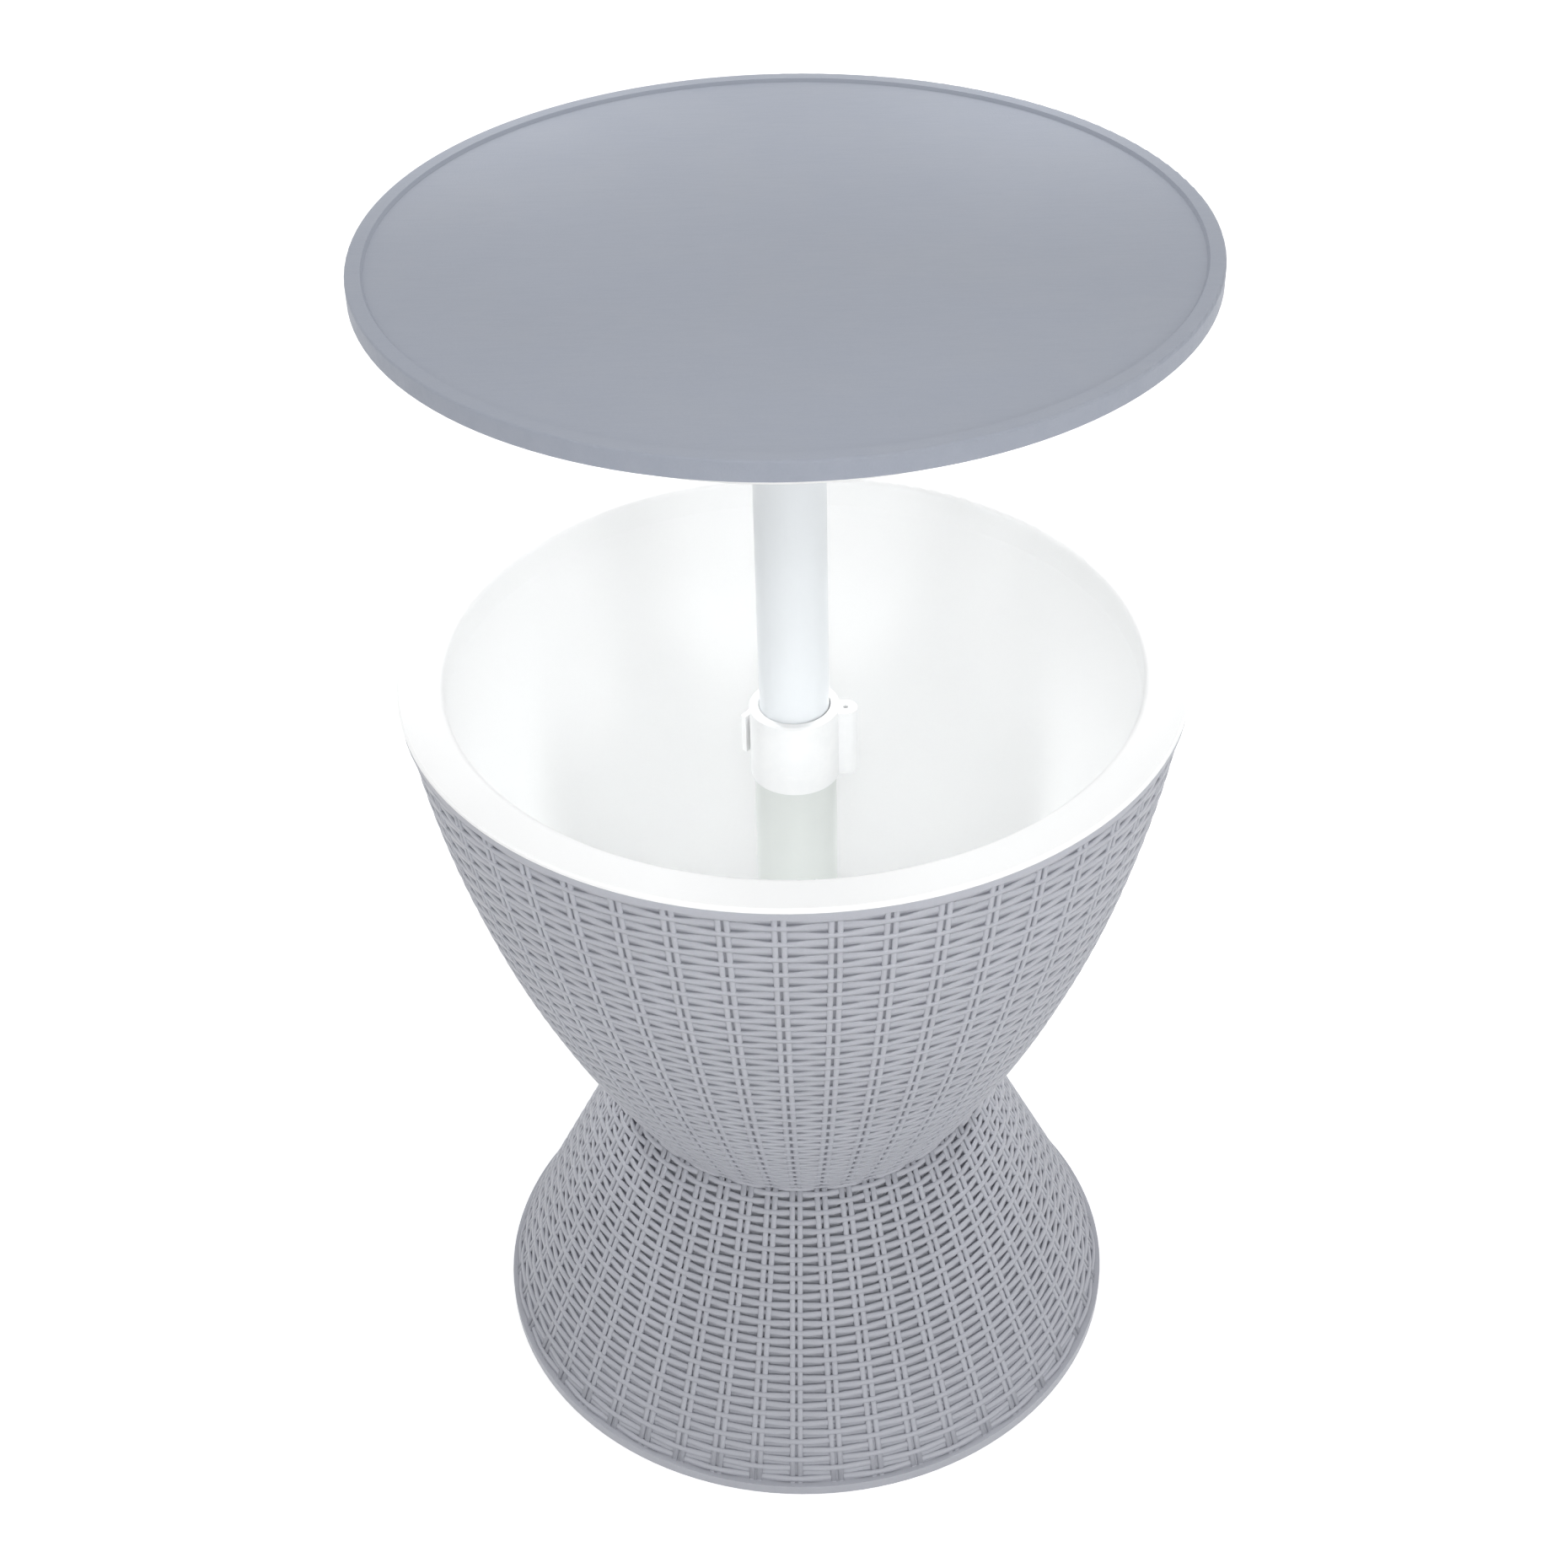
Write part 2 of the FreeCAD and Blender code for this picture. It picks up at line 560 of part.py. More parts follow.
def make_liner_bucket():
    """White bucket: flange, straight mouth, curved wall, floor and the boss round the pole."""
    mouth_z = FLANGE_TOP - MOUTH_STRAIGHT
    corner_z = BUCKET_FLOOR_Z + BUCKET_CORNER
    under_z = BUCKET_FLOOR_Z - BUCKET_WALL
    inner_r = bucket_inner_r()
    foot_r = inner_r(corner_z)
    bend = (foot_r - BUCKET_CORNER, corner_z)
    lip = (MOUTH_R + MOUTH_ROUND, FLANGE_TOP - MOUTH_ROUND)
    boss_r = POLE_HOLE_R + 2 * BUCKET_WALL
    bucket = turned(
        (POLE_HOLE_R, BUCKET_FLOOR_Z), (bend[0], BUCKET_FLOOR_Z),
        (on_diagonal(bend, BUCKET_CORNER, -45), (foot_r, corner_z)),
        ((BUCKET_MID_R, BOWL_MID_Z), (MOUTH_R, mouth_z)),
        (MOUTH_R, lip[1]), (on_diagonal(lip, MOUTH_ROUND, 135), (lip[0], FLANGE_TOP)),
        (FLANGE_R - FLANGE_ROUND, FLANGE_TOP), (FLANGE_R, FLANGE_TOP - FLANGE_ROUND),
        (FLANGE_R, FLANGE_BOTTOM), (MOUTH_R + BUCKET_WALL, FLANGE_BOTTOM), (MOUTH_R + BUCKET_WALL, mouth_z),
        ((BUCKET_MID_R + BUCKET_WALL, BOWL_MID_Z), (foot_r + BUCKET_WALL, corner_z)),
        (on_diagonal(bend, BUCKET_CORNER + BUCKET_WALL, -45), (bend[0], under_z)),
        (boss_r, under_z), (boss_r, BOWL_FLOOR_TOP), (POLE_HOLE_R, BOWL_FLOOR_TOP))
    return bucket.cut(drain_hole(DRAIN_TUBE_R + HOLE_GAP, under_z, BUCKET_FLOOR_Z))


def make_floor_seal():
    """Rubber ring between the pole's flange and the bucket's floor."""
    return ring(POLE_HOLE_R, FOOT_FLANGE_R - SEAL_INSET, BUCKET_FLOOR_Z, FOOT_FLANGE_Z)


def make_bowl_shell():
    """Gray bowl: rim under the bucket, curved wall with stakes, floor with ribs and screw bosses."""
    outer_r = bowl_outer_r()
    floor_in = outer_r(BOWL_FLOOR_TOP) - BOWL_WALL
    bowl = turned(
        (POLE_HOLE_R, WAIST_Z), (BOWL_WAIST_R, WAIST_Z),
        ((BOWL_MID_R, BOWL_MID_Z), (BOWL_TOP_R, BOWL_WALL_TOP)),
        (BOWL_RIM_R, BOWL_WALL_TOP), (BOWL_RIM_R, FLANGE_BOTTOM), (BOWL_TOP_R - BOWL_WALL, FLANGE_BOTTOM),
        (BOWL_TOP_R - BOWL_WALL, BOWL_WALL_TOP),
        ((BOWL_MID_R - BOWL_WALL, BOWL_MID_Z), (floor_in, BOWL_FLOOR_TOP)),
        (POLE_HOLE_R, BOWL_FLOOR_TOP))
    rib = block(BOWL_RIB_R, floor_in + RIB_ROOT, -BOWL_RIB_T / 2, BOWL_RIB_T / 2, WAIST_Z + RIB_ROOT,
                BOWL_FLOOR_TOP + BOWL_RIB_H)
    ribs = round_the_axis(rib, BOWL_RIB_COUNT, RIB_FIRST_DEG)
    top = BOWL_FLOOR_TOP + BOWL_BOSS_H
    bosses = round_the_axis(rod(BOWL_BOSS_R, WAIST_Z + RIB_ROOT, top, WAIST_SCREW_R), WAIST_SCREW_COUNT)
    stakes = double_stakes(profile(
        (BOWL_WAIST_R + STAKE_H, WAIST_Z),
        ((BOWL_MID_R + STAKE_H, BOWL_MID_Z), (BOWL_TOP_R + STAKE_H, BOWL_WALL_TOP)),
        (BOWL_TOP_R - STAKE_ROOT, BOWL_WALL_TOP),
        ((BOWL_MID_R - STAKE_ROOT, BOWL_MID_Z), (BOWL_WAIST_R - STAKE_ROOT, WAIST_Z))))
    holes = screw_holes(WAIST_SCREW_COUNT, WAIST_SCREW_R, WAIST_Z, top - SCREW_TIP_SKIN)
    return bowl.multiFuse(ribs + bosses + stakes).cut(
        holes + [drain_hole(DRAIN_TUBE_R + HOLE_GAP, WAIST_Z, BOWL_FLOOR_TOP)])


def make_base_cone():
    """Gray flared base: foot, band, straight wall with stakes, top plate, gussets and a ring rib."""
    toe_in = BASE_R - BASE_FOOT_W
    base = turned(
        (toe_in, 0), (BASE_R, 0), (BASE_R, BASE_BAND_H), (BASE_TOE_R, BASE_BAND_H), (BASE_WAIST_R, WAIST_Z),
        (POLE_HOLE_R, WAIST_Z), (POLE_HOLE_R, BASE_PLATE_BOTTOM),
        (base_inner_r(BASE_PLATE_BOTTOM), BASE_PLATE_BOTTOM), (base_inner_r(BASE_FOOT_T), BASE_FOOT_T),
        (toe_in, BASE_FOOT_T))
    low = BASE_PLATE_BOTTOM - BASE_RIB_DROP
    high = BASE_PLATE_BOTTOM + RIB_ROOT
    gusset = profile(
        (BASE_RIB_R, high), (base_inner_r(high) + RIB_ROOT, high), (base_inner_r(low) + RIB_ROOT, low),
        (BASE_RIB_R, BASE_PLATE_BOTTOM - BASE_RING_H)).extrude(Vector(0, BASE_RIB_T, 0))
    gusset.translate(Vector(0, -BASE_RIB_T / 2, 0))
    gussets = round_the_axis(gusset, BASE_RIB_COUNT, RIB_FIRST_DEG)
    stiffener = ring(BASE_RIB_R - BASE_RING_T, BASE_RIB_R + RIB_ROOT, BASE_PLATE_BOTTOM - BASE_RING_H, high)
    stakes = double_stakes(profile(
        (BASE_TOE_R + STAKE_H, BASE_BAND_H), (BASE_WAIST_R + STAKE_H, WAIST_Z),
        (BASE_WAIST_R - STAKE_ROOT, WAIST_Z), (BASE_TOE_R - STAKE_ROOT, BASE_BAND_H)))
    holes = screw_holes(WAIST_SCREW_COUNT, WAIST_SCREW_R, BASE_PLATE_BOTTOM, WAIST_Z)
    return base.multiFuse(gussets + [stiffener] + stakes).cut(
        holes + [drain_hole(DRAIN_TUBE_R + HOLE_GAP, BASE_PLATE_BOTTOM, WAIST_Z)])


def make_pole_nut():
    """Big nut under the base plate, with hollows round its edge for the fingers."""
    low = BASE_PLATE_BOTTOM - NUT_H
    nut = ring(LOWER_R + PRESS_GAP, NUT_R, low, BASE_PLATE_BOTTOM)
    hollow = rod(NUT_GRIP_R, low, BASE_PLATE_BOTTOM, NUT_R + NUT_GRIP_R / 2)
    return nut.cut(round_the_axis(hollow, NUT_GRIP_COUNT))


def make_drain_spout():
    """Flanged spout from the bucket's floor down through the bowl and the base plate."""
    seat = BUCKET_FLOOR_Z + DRAIN_SEAL_T
    low = BASE_PLATE_BOTTOM - DRAIN_SPOUT_DROP
    body = drain_hole(DRAIN_TUBE_R, low, seat).fuse(drain_hole(DRAIN_LIP_R, seat, seat + DRAIN_LIP_T))
    return body.cut(drain_hole(DRAIN_BORE_R, low, seat + DRAIN_LIP_T))


def make_drain_seal():
    """Rubber ring under the spout's lip."""
    seat = BUCKET_FLOOR_Z + DRAIN_SEAL_T
    outer = drain_hole(DRAIN_LIP_R - SEAL_INSET, BUCKET_FLOOR_Z, seat)
    return outer.cut(drain_hole(DRAIN_TUBE_R + HOLE_GAP, BUCKET_FLOOR_Z, seat))


def make_drain_nut():
    """Six-sided nut that holds the spout under the base plate."""
    nut = six_sided_nut(DRAIN_NUT_R, DRAIN_NUT_H, DRAIN_TUBE_R + PRESS_GAP)
    nut.translate(Vector(0, DRAIN_Y, BASE_PLATE_BOTTOM - DRAIN_NUT_H))
    return nut


def make_drain_stopper():
    """Push-in stopper: tapered stem in the spout, round head and a grip to pull it by."""
    seat = BUCKET_FLOOR_Z + DRAIN_SEAL_T + DRAIN_LIP_T + SLIP_GAP
    stem_r = DRAIN_BORE_R - STOPPER_GAP
    tip = seat - STOPPER_STEM
    head = seat + STOPPER_HEAD_T
    stem = turned(
        (0, tip), (stem_r - STOPPER_TAPER - DRAIN_LEAD, tip), (stem_r - STOPPER_TAPER, tip + DRAIN_LEAD),
        (stem_r, seat), (STOPPER_HEAD_R, seat), (STOPPER_HEAD_R, head - DRAIN_LEAD),
        (STOPPER_HEAD_R - DRAIN_LEAD, head), (0, head))
    low = head - RIB_ROOT
    top = head + STOPPER_GRIP_H
    half = STOPPER_GRIP_W / 2
    grip = block(-half, half, -STOPPER_GRIP_T / 2, STOPPER_GRIP_T / 2, low, top - half)
    crown = cross_rod(half, -STOPPER_GRIP_T / 2, STOPPER_GRIP_T / 2, top - half)
    crown = crown.common(block(-half, half, -STOPPER_GRIP_T, STOPPER_GRIP_T, low, top))
    stopper = stem.fuse([grip, crown])
    stopper.translate(Vector(0, DRAIN_Y, 0))
    return stopper


def make_hub_screws():
    """Screws up through the hub's flange and the panel into the top."""
    head = PANEL_BOTTOM - HUB_FLANGE_T - SCREW_HEAD_T
    return Part.makeCompound(screws(HUB_SCREW_COUNT, HUB_SCREW_R, head, LID_SCREW_TIP))


def make_rim_screws():
    """Screws up through the panel into the top, inside the plug rim."""
    head = PANEL_BOTTOM - SCREW_HEAD_T
    return Part.makeCompound(screws(RIM_SCREW_COUNT, RIM_SCREW_R, head, LID_SCREW_TIP))


def make_waist_screws():
    """Screws up through the base plate into the bowl's floor bosses."""
    head = BASE_PLATE_BOTTOM - SCREW_HEAD_T
    tip = BOWL_FLOOR_TOP + BOWL_BOSS_H - SCREW_TIP_SKIN - SCREW_CLEAR
    return Part.makeCompound(screws(WAIST_SCREW_COUNT, WAIST_SCREW_R, head, tip))


PIECES = {
    "tabletop": make_tabletop,
    "lid_underside": make_lid_underside,
    "lid_hub": make_lid_hub,
    "hub_screws": make_hub_screws,
    "rim_screws": make_rim_screws,
    "hub_bolt": make_hub_bolt,
    "hub_bolt_nut": make_hub_bolt_nut,
    "upper_tube": make_upper_tube,
    "upper_tube_cap": make_upper_tube_cap,
    "guide_bush": make_guide_bush,
    "retaining_ring": make_retaining_ring,
    "lower_tube": make_lower_tube,
    "lower_tube_cap": make_lower_tube_cap,
    "lock_collar": make_lock_collar,
    "lever_pin": make_lever_pin,
    "lock_lever": make_lock_lever,
    "clamp_shoe": make_clamp_shoe,
    "liner_bucket": make_liner_bucket,
    "floor_seal": make_floor_seal,
    "bowl_shell": make_bowl_shell,
    "base_cone": make_base_cone,
    "waist_screws": make_waist_screws,
    "pole_nut": make_pole_nut,
    "drain_spout": make_drain_spout,
    "drain_seal": make_drain_seal,
    "drain_nut": make_drain_nut,
    "drain_stopper": make_drain_stopper,
}

os.makedirs("parts", exist_ok=True)
for name, make in PIECES.items():
    shape = make()
    shape.exportStep("parts/" + name + ".step")
    print(name, "solids", len(shape.Solids), "volume", round(shape.Volume), "valid", shape.isValid())
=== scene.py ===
"""Patio cooler table with a lifting top: woven relief, finishes, studio and camera.

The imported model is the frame, in metres: floor at z 0, pole on the z axis, front towards -Y.
Sizes in the classes are in millimetres, as a mould maker writes them.
"""
import logging
import math
from dataclasses import dataclass
from enum import Enum
from typing import Callable
import bpy
import numpy as np
from mathutils import Matrix, Vector


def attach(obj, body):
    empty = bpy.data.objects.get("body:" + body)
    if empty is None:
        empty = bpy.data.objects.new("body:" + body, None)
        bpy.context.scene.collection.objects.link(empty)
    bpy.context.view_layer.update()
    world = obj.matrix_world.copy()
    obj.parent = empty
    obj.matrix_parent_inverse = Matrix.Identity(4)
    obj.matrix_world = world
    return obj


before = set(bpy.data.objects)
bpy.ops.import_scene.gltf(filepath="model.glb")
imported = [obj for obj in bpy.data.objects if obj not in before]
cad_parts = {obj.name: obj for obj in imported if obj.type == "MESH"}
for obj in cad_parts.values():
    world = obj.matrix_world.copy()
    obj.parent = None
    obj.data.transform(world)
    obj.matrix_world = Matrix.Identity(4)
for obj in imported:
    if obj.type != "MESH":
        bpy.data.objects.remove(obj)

LOG = logging.getLogger("cooler_table")
MM = 0.001
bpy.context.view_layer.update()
# Name of the mesh attribute of painted recess shade: how deep each point of the woven relief lies.
CREVICE_SHADE_NAME = "crevice_shade"

Rgb = tuple[float, float, float]
Rgba = tuple[float, float, float, float]
Point = tuple[float, float, float]
# Each ring's second list is how much painted recess shade its points take.
Ring = tuple[list[Point], list[float]]
Socket = bpy.types.NodeSocket

BLANK: Rgba = (1.0, 1.0, 1.0, 1.0)
MIX_SHARE, MIX_FIRST, MIX_SECOND = 0, 6, 7
MIX_COLOR = 2


def opaque(color: Rgb) -> Rgba:
    """The colour with full alpha."""
    return (*color, 1.0)


def held(share: float) -> float:
    """The share, held between 0 and 1."""
    return min(max(share, 0.0), 1.0)


def ease(share: float) -> float:
    """Smooth step from 0 to 1."""
    return share * share * (3 - 2 * share)


class Slot(Enum):
    """Material slots of the record."""

    GRAY_TOP = "gray_top"
    GRAY_WICKER = "gray_wicker"
    WHITE_PLASTIC = "white_plastic"
    WHITE_TUBE = "white_tube"
    DARK_PLASTIC = "dark_plastic"
    SEAL_RUBBER = "seal_rubber"
    STOPPER_RUBBER = "stopper_rubber"
    STEEL = "steel"


class Body(Enum):
    """Bodies of the table that carry pieces made here."""

    STAND = "stand"


class Kind(Enum):
    """Socket types of the shared effects."""

    NUMBER = "NodeSocketFloat"
    COLOR = "NodeSocketColor"
    VECTOR = "NodeSocketVector"


class Wiring:
    """A shader node tree with short calls for adding and joining nodes."""

    def __init__(self, tree: bpy.types.NodeTree) -> None:
        """Keeps the tree.

        Args:
            tree: node tree of a material or of a group.
        """
        self.tree = tree

    def node(self, kind: str, **settings: object) -> bpy.types.Node:
        """Adds a node.

        Args:
            kind: class name of the node.
            settings: properties to set on it.

        Returns:
            The new node.
        """
        made = self.tree.nodes.new(kind)
        for name, value in settings.items():
            setattr(made, name, value)
        return made

    def feed(self, target: Socket, value: object) -> None:
        """Joins an output to a socket, or sets the socket to a plain value.

        Args:
            target: input socket.
            value: output socket, number or colour.
        """
        if isinstance(value, bpy.types.NodeSocket):
            self.tree.links.new(value, target)
        else:
            target.default_value = value

    def sum(self, operation: str, *values: object) -> Socket:
        """Adds a Math node.

        Args:
            operation: name of the sum.
            values: output sockets or numbers, in order.

        Returns:
            Output socket.
        """
        made = self.node("ShaderNodeMath", operation=operation)
        for target, value in zip(made.inputs, values):
            self.feed(target, value)
        return made.outputs[0]

    def span(self, value: Socket, low: float, high: float, start: object = 0.0,
             end: object = 1.0) -> Socket:
        """Maps a value from low..high to start..end, held at both ends.

        Args:
            value: output socket.
            low: value that becomes start.
            high: value that becomes end.
            start: number or socket.
            end: number or socket.

        Returns:
            Output socket.
        """
        made = self.node("ShaderNodeMapRange", clamp=True, interpolation_type="SMOOTHSTEP")
        for target, item in zip(made.inputs, (value, low, high, start, end)):
            self.feed(target, item)
        return made.outputs[0]

    def blend(self, share: object, first: object, second: object) -> Socket:
        """Mixes two colours.

        Args:
            share: how much of the second, 0 to 1.
            first: colour or socket.
            second: colour or socket.

        Returns:
            Colour output.
        """
        made = self.node("ShaderNodeMix", data_type="RGBA", clamp_factor=True)
        self.feed(made.inputs[MIX_SHARE], share)
        self.feed(made.inputs[MIX_FIRST], first)
        self.feed(made.inputs[MIX_SECOND], second)
        return made.outputs[MIX_COLOR]

    def noise(self, place: Socket, scale: object, detail: float, rough: float = 0.5) -> Socket:
        """Adds a noise texture.

        Args:
            place: coordinates.
            scale: number or socket.
            detail: octaves.
            rough: weight of the fine octaves.

        Returns:
            Factor output.
        """
        made = self.node("ShaderNodeTexNoise")
        self.feed(made.inputs["Vector"], place)
        self.feed(made.inputs["Scale"], scale)
        made.inputs["Detail"].default_value = detail
        made.inputs["Roughness"].default_value = rough
        return made.outputs["Fac"]

    def place(self) -> Socket:
        """Coordinates that stay with the piece."""
        return self.node("ShaderNodeTexCoord").outputs["Object"]


class Effect(Wiring):
    """A shader node group that several finishes share."""

    def __init__(self, name: str, takes: dict[str, tuple[Kind, object]], gives: dict[str, Kind]) -> None:
        """Builds the group's sockets.

        Args:
            name: name of the group.
            takes: inputs with their kinds and first values.
            gives: outputs with their kinds.
        """
        super().__init__(bpy.data.node_groups.new(name, "ShaderNodeTree"))
        for label, (kind, value) in takes.items():
            made = self.tree.interface.new_socket(name=label, in_out="INPUT", socket_type=kind.value)
            if kind is not Kind.VECTOR:
                made.default_value = value
        for label, kind in gives.items():
            self.tree.interface.new_socket(name=label, in_out="OUTPUT", socket_type=kind.value)
        self.taken = self.node("NodeGroupInput").outputs
        self.given = self.node("NodeGroupOutput").inputs

    def use(self, sheet: Wiring, **values: object) -> bpy.types.NodeOutputs:
        """Places the group in a material.

        Args:
            sheet: wiring of the material.
            values: inputs by name, with _ for a space.

        Returns:
            Outputs of the placed group.
        """
        made = sheet.node("ShaderNodeGroup")
        made.node_tree = self.tree
        for label, value in values.items():
            sheet.feed(made.inputs[label.replace("_", " ")], value)
        return made.outputs


class Effects:
    """The effects that the finishes share, each built once."""

    TINTED = {"Color": Kind.COLOR, "Mask": Kind.NUMBER}

    def __init__(self) -> None:
        """Builds the groups."""
        self.grain = self._grain()
        self.mottle = self._mottle()
        self.wear = self._wear()
        self.dust = self._dust()
        self.shade = self._shade()
        self.scuff = self._scuff()
        self.gap = self._gap_shade()

    @staticmethod
    def _tint(group: Effect, mask: Socket, tint: str) -> Effect:
        """Ends a group that lays a tint over the colour.

        Args:
            group: the group.
            mask: how much of the tint.
            tint: name of the input that holds the tint.

        Returns:
            The group.
        """
        group.feed(group.given["Color"], group.blend(mask, group.taken["Color"], group.taken[tint]))
        group.feed(group.given["Mask"], mask)
        return group

    @staticmethod
    def _grain() -> Effect:
        """Fine pebbled skin of a moulded or brushed surface.

        Returns:
            The group.
        """
        cell_scale, cell_weight, slow_scale = 0.45, 0.6, 0.06
        group = Effect("surface_grain", {"Place": (Kind.VECTOR, None), "Scale": (Kind.NUMBER, 900.0),
                                         "Coarse": (Kind.NUMBER, 0.4)}, {"Height": Kind.NUMBER})
        place, scale = group.taken["Place"], group.taken["Scale"]
        fine = group.noise(place, scale, detail=3.0, rough=0.6)
        cells = group.node("ShaderNodeTexVoronoi", feature="SMOOTH_F1")
        group.feed(cells.inputs["Vector"], place)
        group.feed(cells.inputs["Scale"], group.sum("MULTIPLY", scale, cell_scale))
        slow = group.noise(place, group.sum("MULTIPLY", scale, slow_scale), detail=2.0)
        rough = group.sum("MULTIPLY_ADD", cells.outputs["Distance"], cell_weight, fine)
        group.feed(group.given["Height"], group.sum("MULTIPLY_ADD", slow, group.taken["Coarse"], rough))
        return group

    @staticmethod
    def _mottle() -> Effect:
        """Slow uneven tone, as in resin that cooled unevenly.

        Returns:
            The group.
        """
        speck_scale, speck_weight, slow_weight = 70.0, 0.35, 0.65
        group = Effect("resin_mottle", {"Place": (Kind.VECTOR, None), "Color": (Kind.COLOR, BLANK),
                                        "Scale": (Kind.NUMBER, 9.0), "Amount": (Kind.NUMBER, 0.05)},
                       Effects.TINTED)
        place, scale = group.taken["Place"], group.taken["Scale"]
        slow = group.noise(place, scale, detail=4.0)
        speck = group.noise(place, group.sum("MULTIPLY", scale, speck_scale), detail=2.0)
        both = group.sum("MULTIPLY_ADD", speck, speck_weight, group.sum("MULTIPLY", slow, slow_weight))
        mask = group.span(both, low=0.3, high=0.7)
        swing = group.sum("MULTIPLY_ADD", group.sum("SUBTRACT", mask, 0.5), group.taken["Amount"], 1.0)
        tint = group.node("ShaderNodeVectorMath", operation="SCALE")
        group.feed(tint.inputs[0], group.taken["Color"])
        group.feed(tint.inputs["Scale"], swing)
        group.feed(group.given["Color"], tint.outputs[0])
        group.feed(group.given["Mask"], mask)
        return group

    @staticmethod
    def _wear() -> Effect:
        """Paler rub along the edges that hands and ice touch.

        Returns:
            The group.
        """
        group = Effect("edge_wear", {"Place": (Kind.VECTOR, None), "Color": (Kind.COLOR, BLANK),
                                     "Rub": (Kind.COLOR, BLANK), "Amount": (Kind.NUMBER, 0.2)},
                       Effects.TINTED)
        bend = group.node("ShaderNodeNewGeometry").outputs["Pointiness"]
        edge = group.span(bend, low=0.505, high=0.56)
        patches = group.noise(group.taken["Place"], scale=60.0, detail=5.0, rough=0.65)
        broken = group.span(patches, low=0.38, high=0.62)
        mask = group.sum("MULTIPLY", group.sum("MULTIPLY", edge, broken), group.taken["Amount"])
        return Effects._tint(group, mask, "Rub")

    @staticmethod
    def _dust() -> Effect:
        """Thin dust on faces that look up.

        Returns:
            The group.
        """
        dust: Rgba = opaque((0.6, 0.6, 0.58))
        group = Effect("settled_dust", {"Place": (Kind.VECTOR, None), "Color": (Kind.COLOR, BLANK),
                                        "Dust": (Kind.COLOR, dust), "Amount": (Kind.NUMBER, 0.1)},
                       Effects.TINTED)
        parts = group.node("ShaderNodeSeparateXYZ")
        group.feed(parts.inputs[0], group.node("ShaderNodeNewGeometry").outputs["Normal"])
        up = group.span(parts.outputs["Z"], low=0.2, high=0.95)
        patches = group.noise(group.taken["Place"], scale=22.0, detail=6.0, rough=0.6)
        cloud = group.span(patches, low=0.35, high=0.75)
        mask = group.sum("MULTIPLY", group.sum("MULTIPLY", up, cloud), group.taken["Amount"])
        return Effects._tint(group, mask, "Dust")

    @staticmethod
    def _shade() -> Effect:
        """Painted shade between two heights, for the wall behind a relief.

        Returns:
            The group.
        """
        group = Effect("relief_ground_shade", {"Place": (Kind.VECTOR, None), "Color": (Kind.COLOR, BLANK),
                                         "Deep": (Kind.COLOR, BLANK), "Low": (Kind.NUMBER, 0.0),
                                         "High": (Kind.NUMBER, 1.0)}, Effects.TINTED)
        parts = group.node("ShaderNodeSeparateXYZ")
        group.feed(parts.inputs[0], group.taken["Place"])
        above = group.sum("GREATER_THAN", parts.outputs["Z"], group.taken["Low"])
        below = group.sum("LESS_THAN", parts.outputs["Z"], group.taken["High"])
        return Effects._tint(group, group.sum("MULTIPLY", above, below), "Deep")

    @staticmethod
    def _gap_shade() -> Effect:
        """Painted shadow on the wall of a bore, strongest on the right, for the dark line of shade round the
        pole.

        Returns:
            The group.
        """
        group = Effect("bore_gap_shade", {"Place": (Kind.VECTOR, None), "Color": (Kind.COLOR, BLANK),
                                    "Deep": (Kind.COLOR, BLANK), "Radius": (Kind.NUMBER, 0.02)},
                       Effects.TINTED)
        parts = group.node("ShaderNodeSeparateXYZ")
        group.feed(parts.inputs[0], group.taken["Place"])
        x, y = parts.outputs["X"], parts.outputs["Y"]
        reach = group.sum("SQRT", group.sum("MULTIPLY_ADD", x, x, group.sum("MULTIPLY", y, y)))
        inside = group.sum("LESS_THAN", reach, group.taken["Radius"])
        side = group.span(group.sum("DIVIDE", x, reach), low=-0.35, high=0.8, start=0.1, end=1.0)
        return Effects._tint(group, group.sum("MULTIPLY", inside, side), "Deep")

    @staticmethod
    def _scuff() -> Effect:
        """Thin long scratches that change the gloss.

        Returns:
            The group.
        """
        group = Effect("fine_scuffs", {"Place": (Kind.VECTOR, None), "Roughness": (Kind.NUMBER, 0.5),
                                       "Amount": (Kind.NUMBER, 0.1)}, {"Roughness": Kind.NUMBER})
        stretch = group.node("ShaderNodeMapping")
        group.feed(stretch.inputs["Vector"], group.taken["Place"])
        stretch.inputs["Rotation"].default_value = (0.4, 0.2, 0.7)
        stretch.inputs["Scale"].default_value = (1.0, 14.0, 3.0)
        streaks = group.noise(stretch.outputs[0], scale=45.0, detail=8.0, rough=0.7)
        lines = group.span(streaks, low=0.35, high=0.7, start=-0.5, end=0.5)
        group.feed(group.given["Roughness"],
                   group.sum("MULTIPLY_ADD", lines, group.taken["Amount"], group.taken["Roughness"]))
        return group


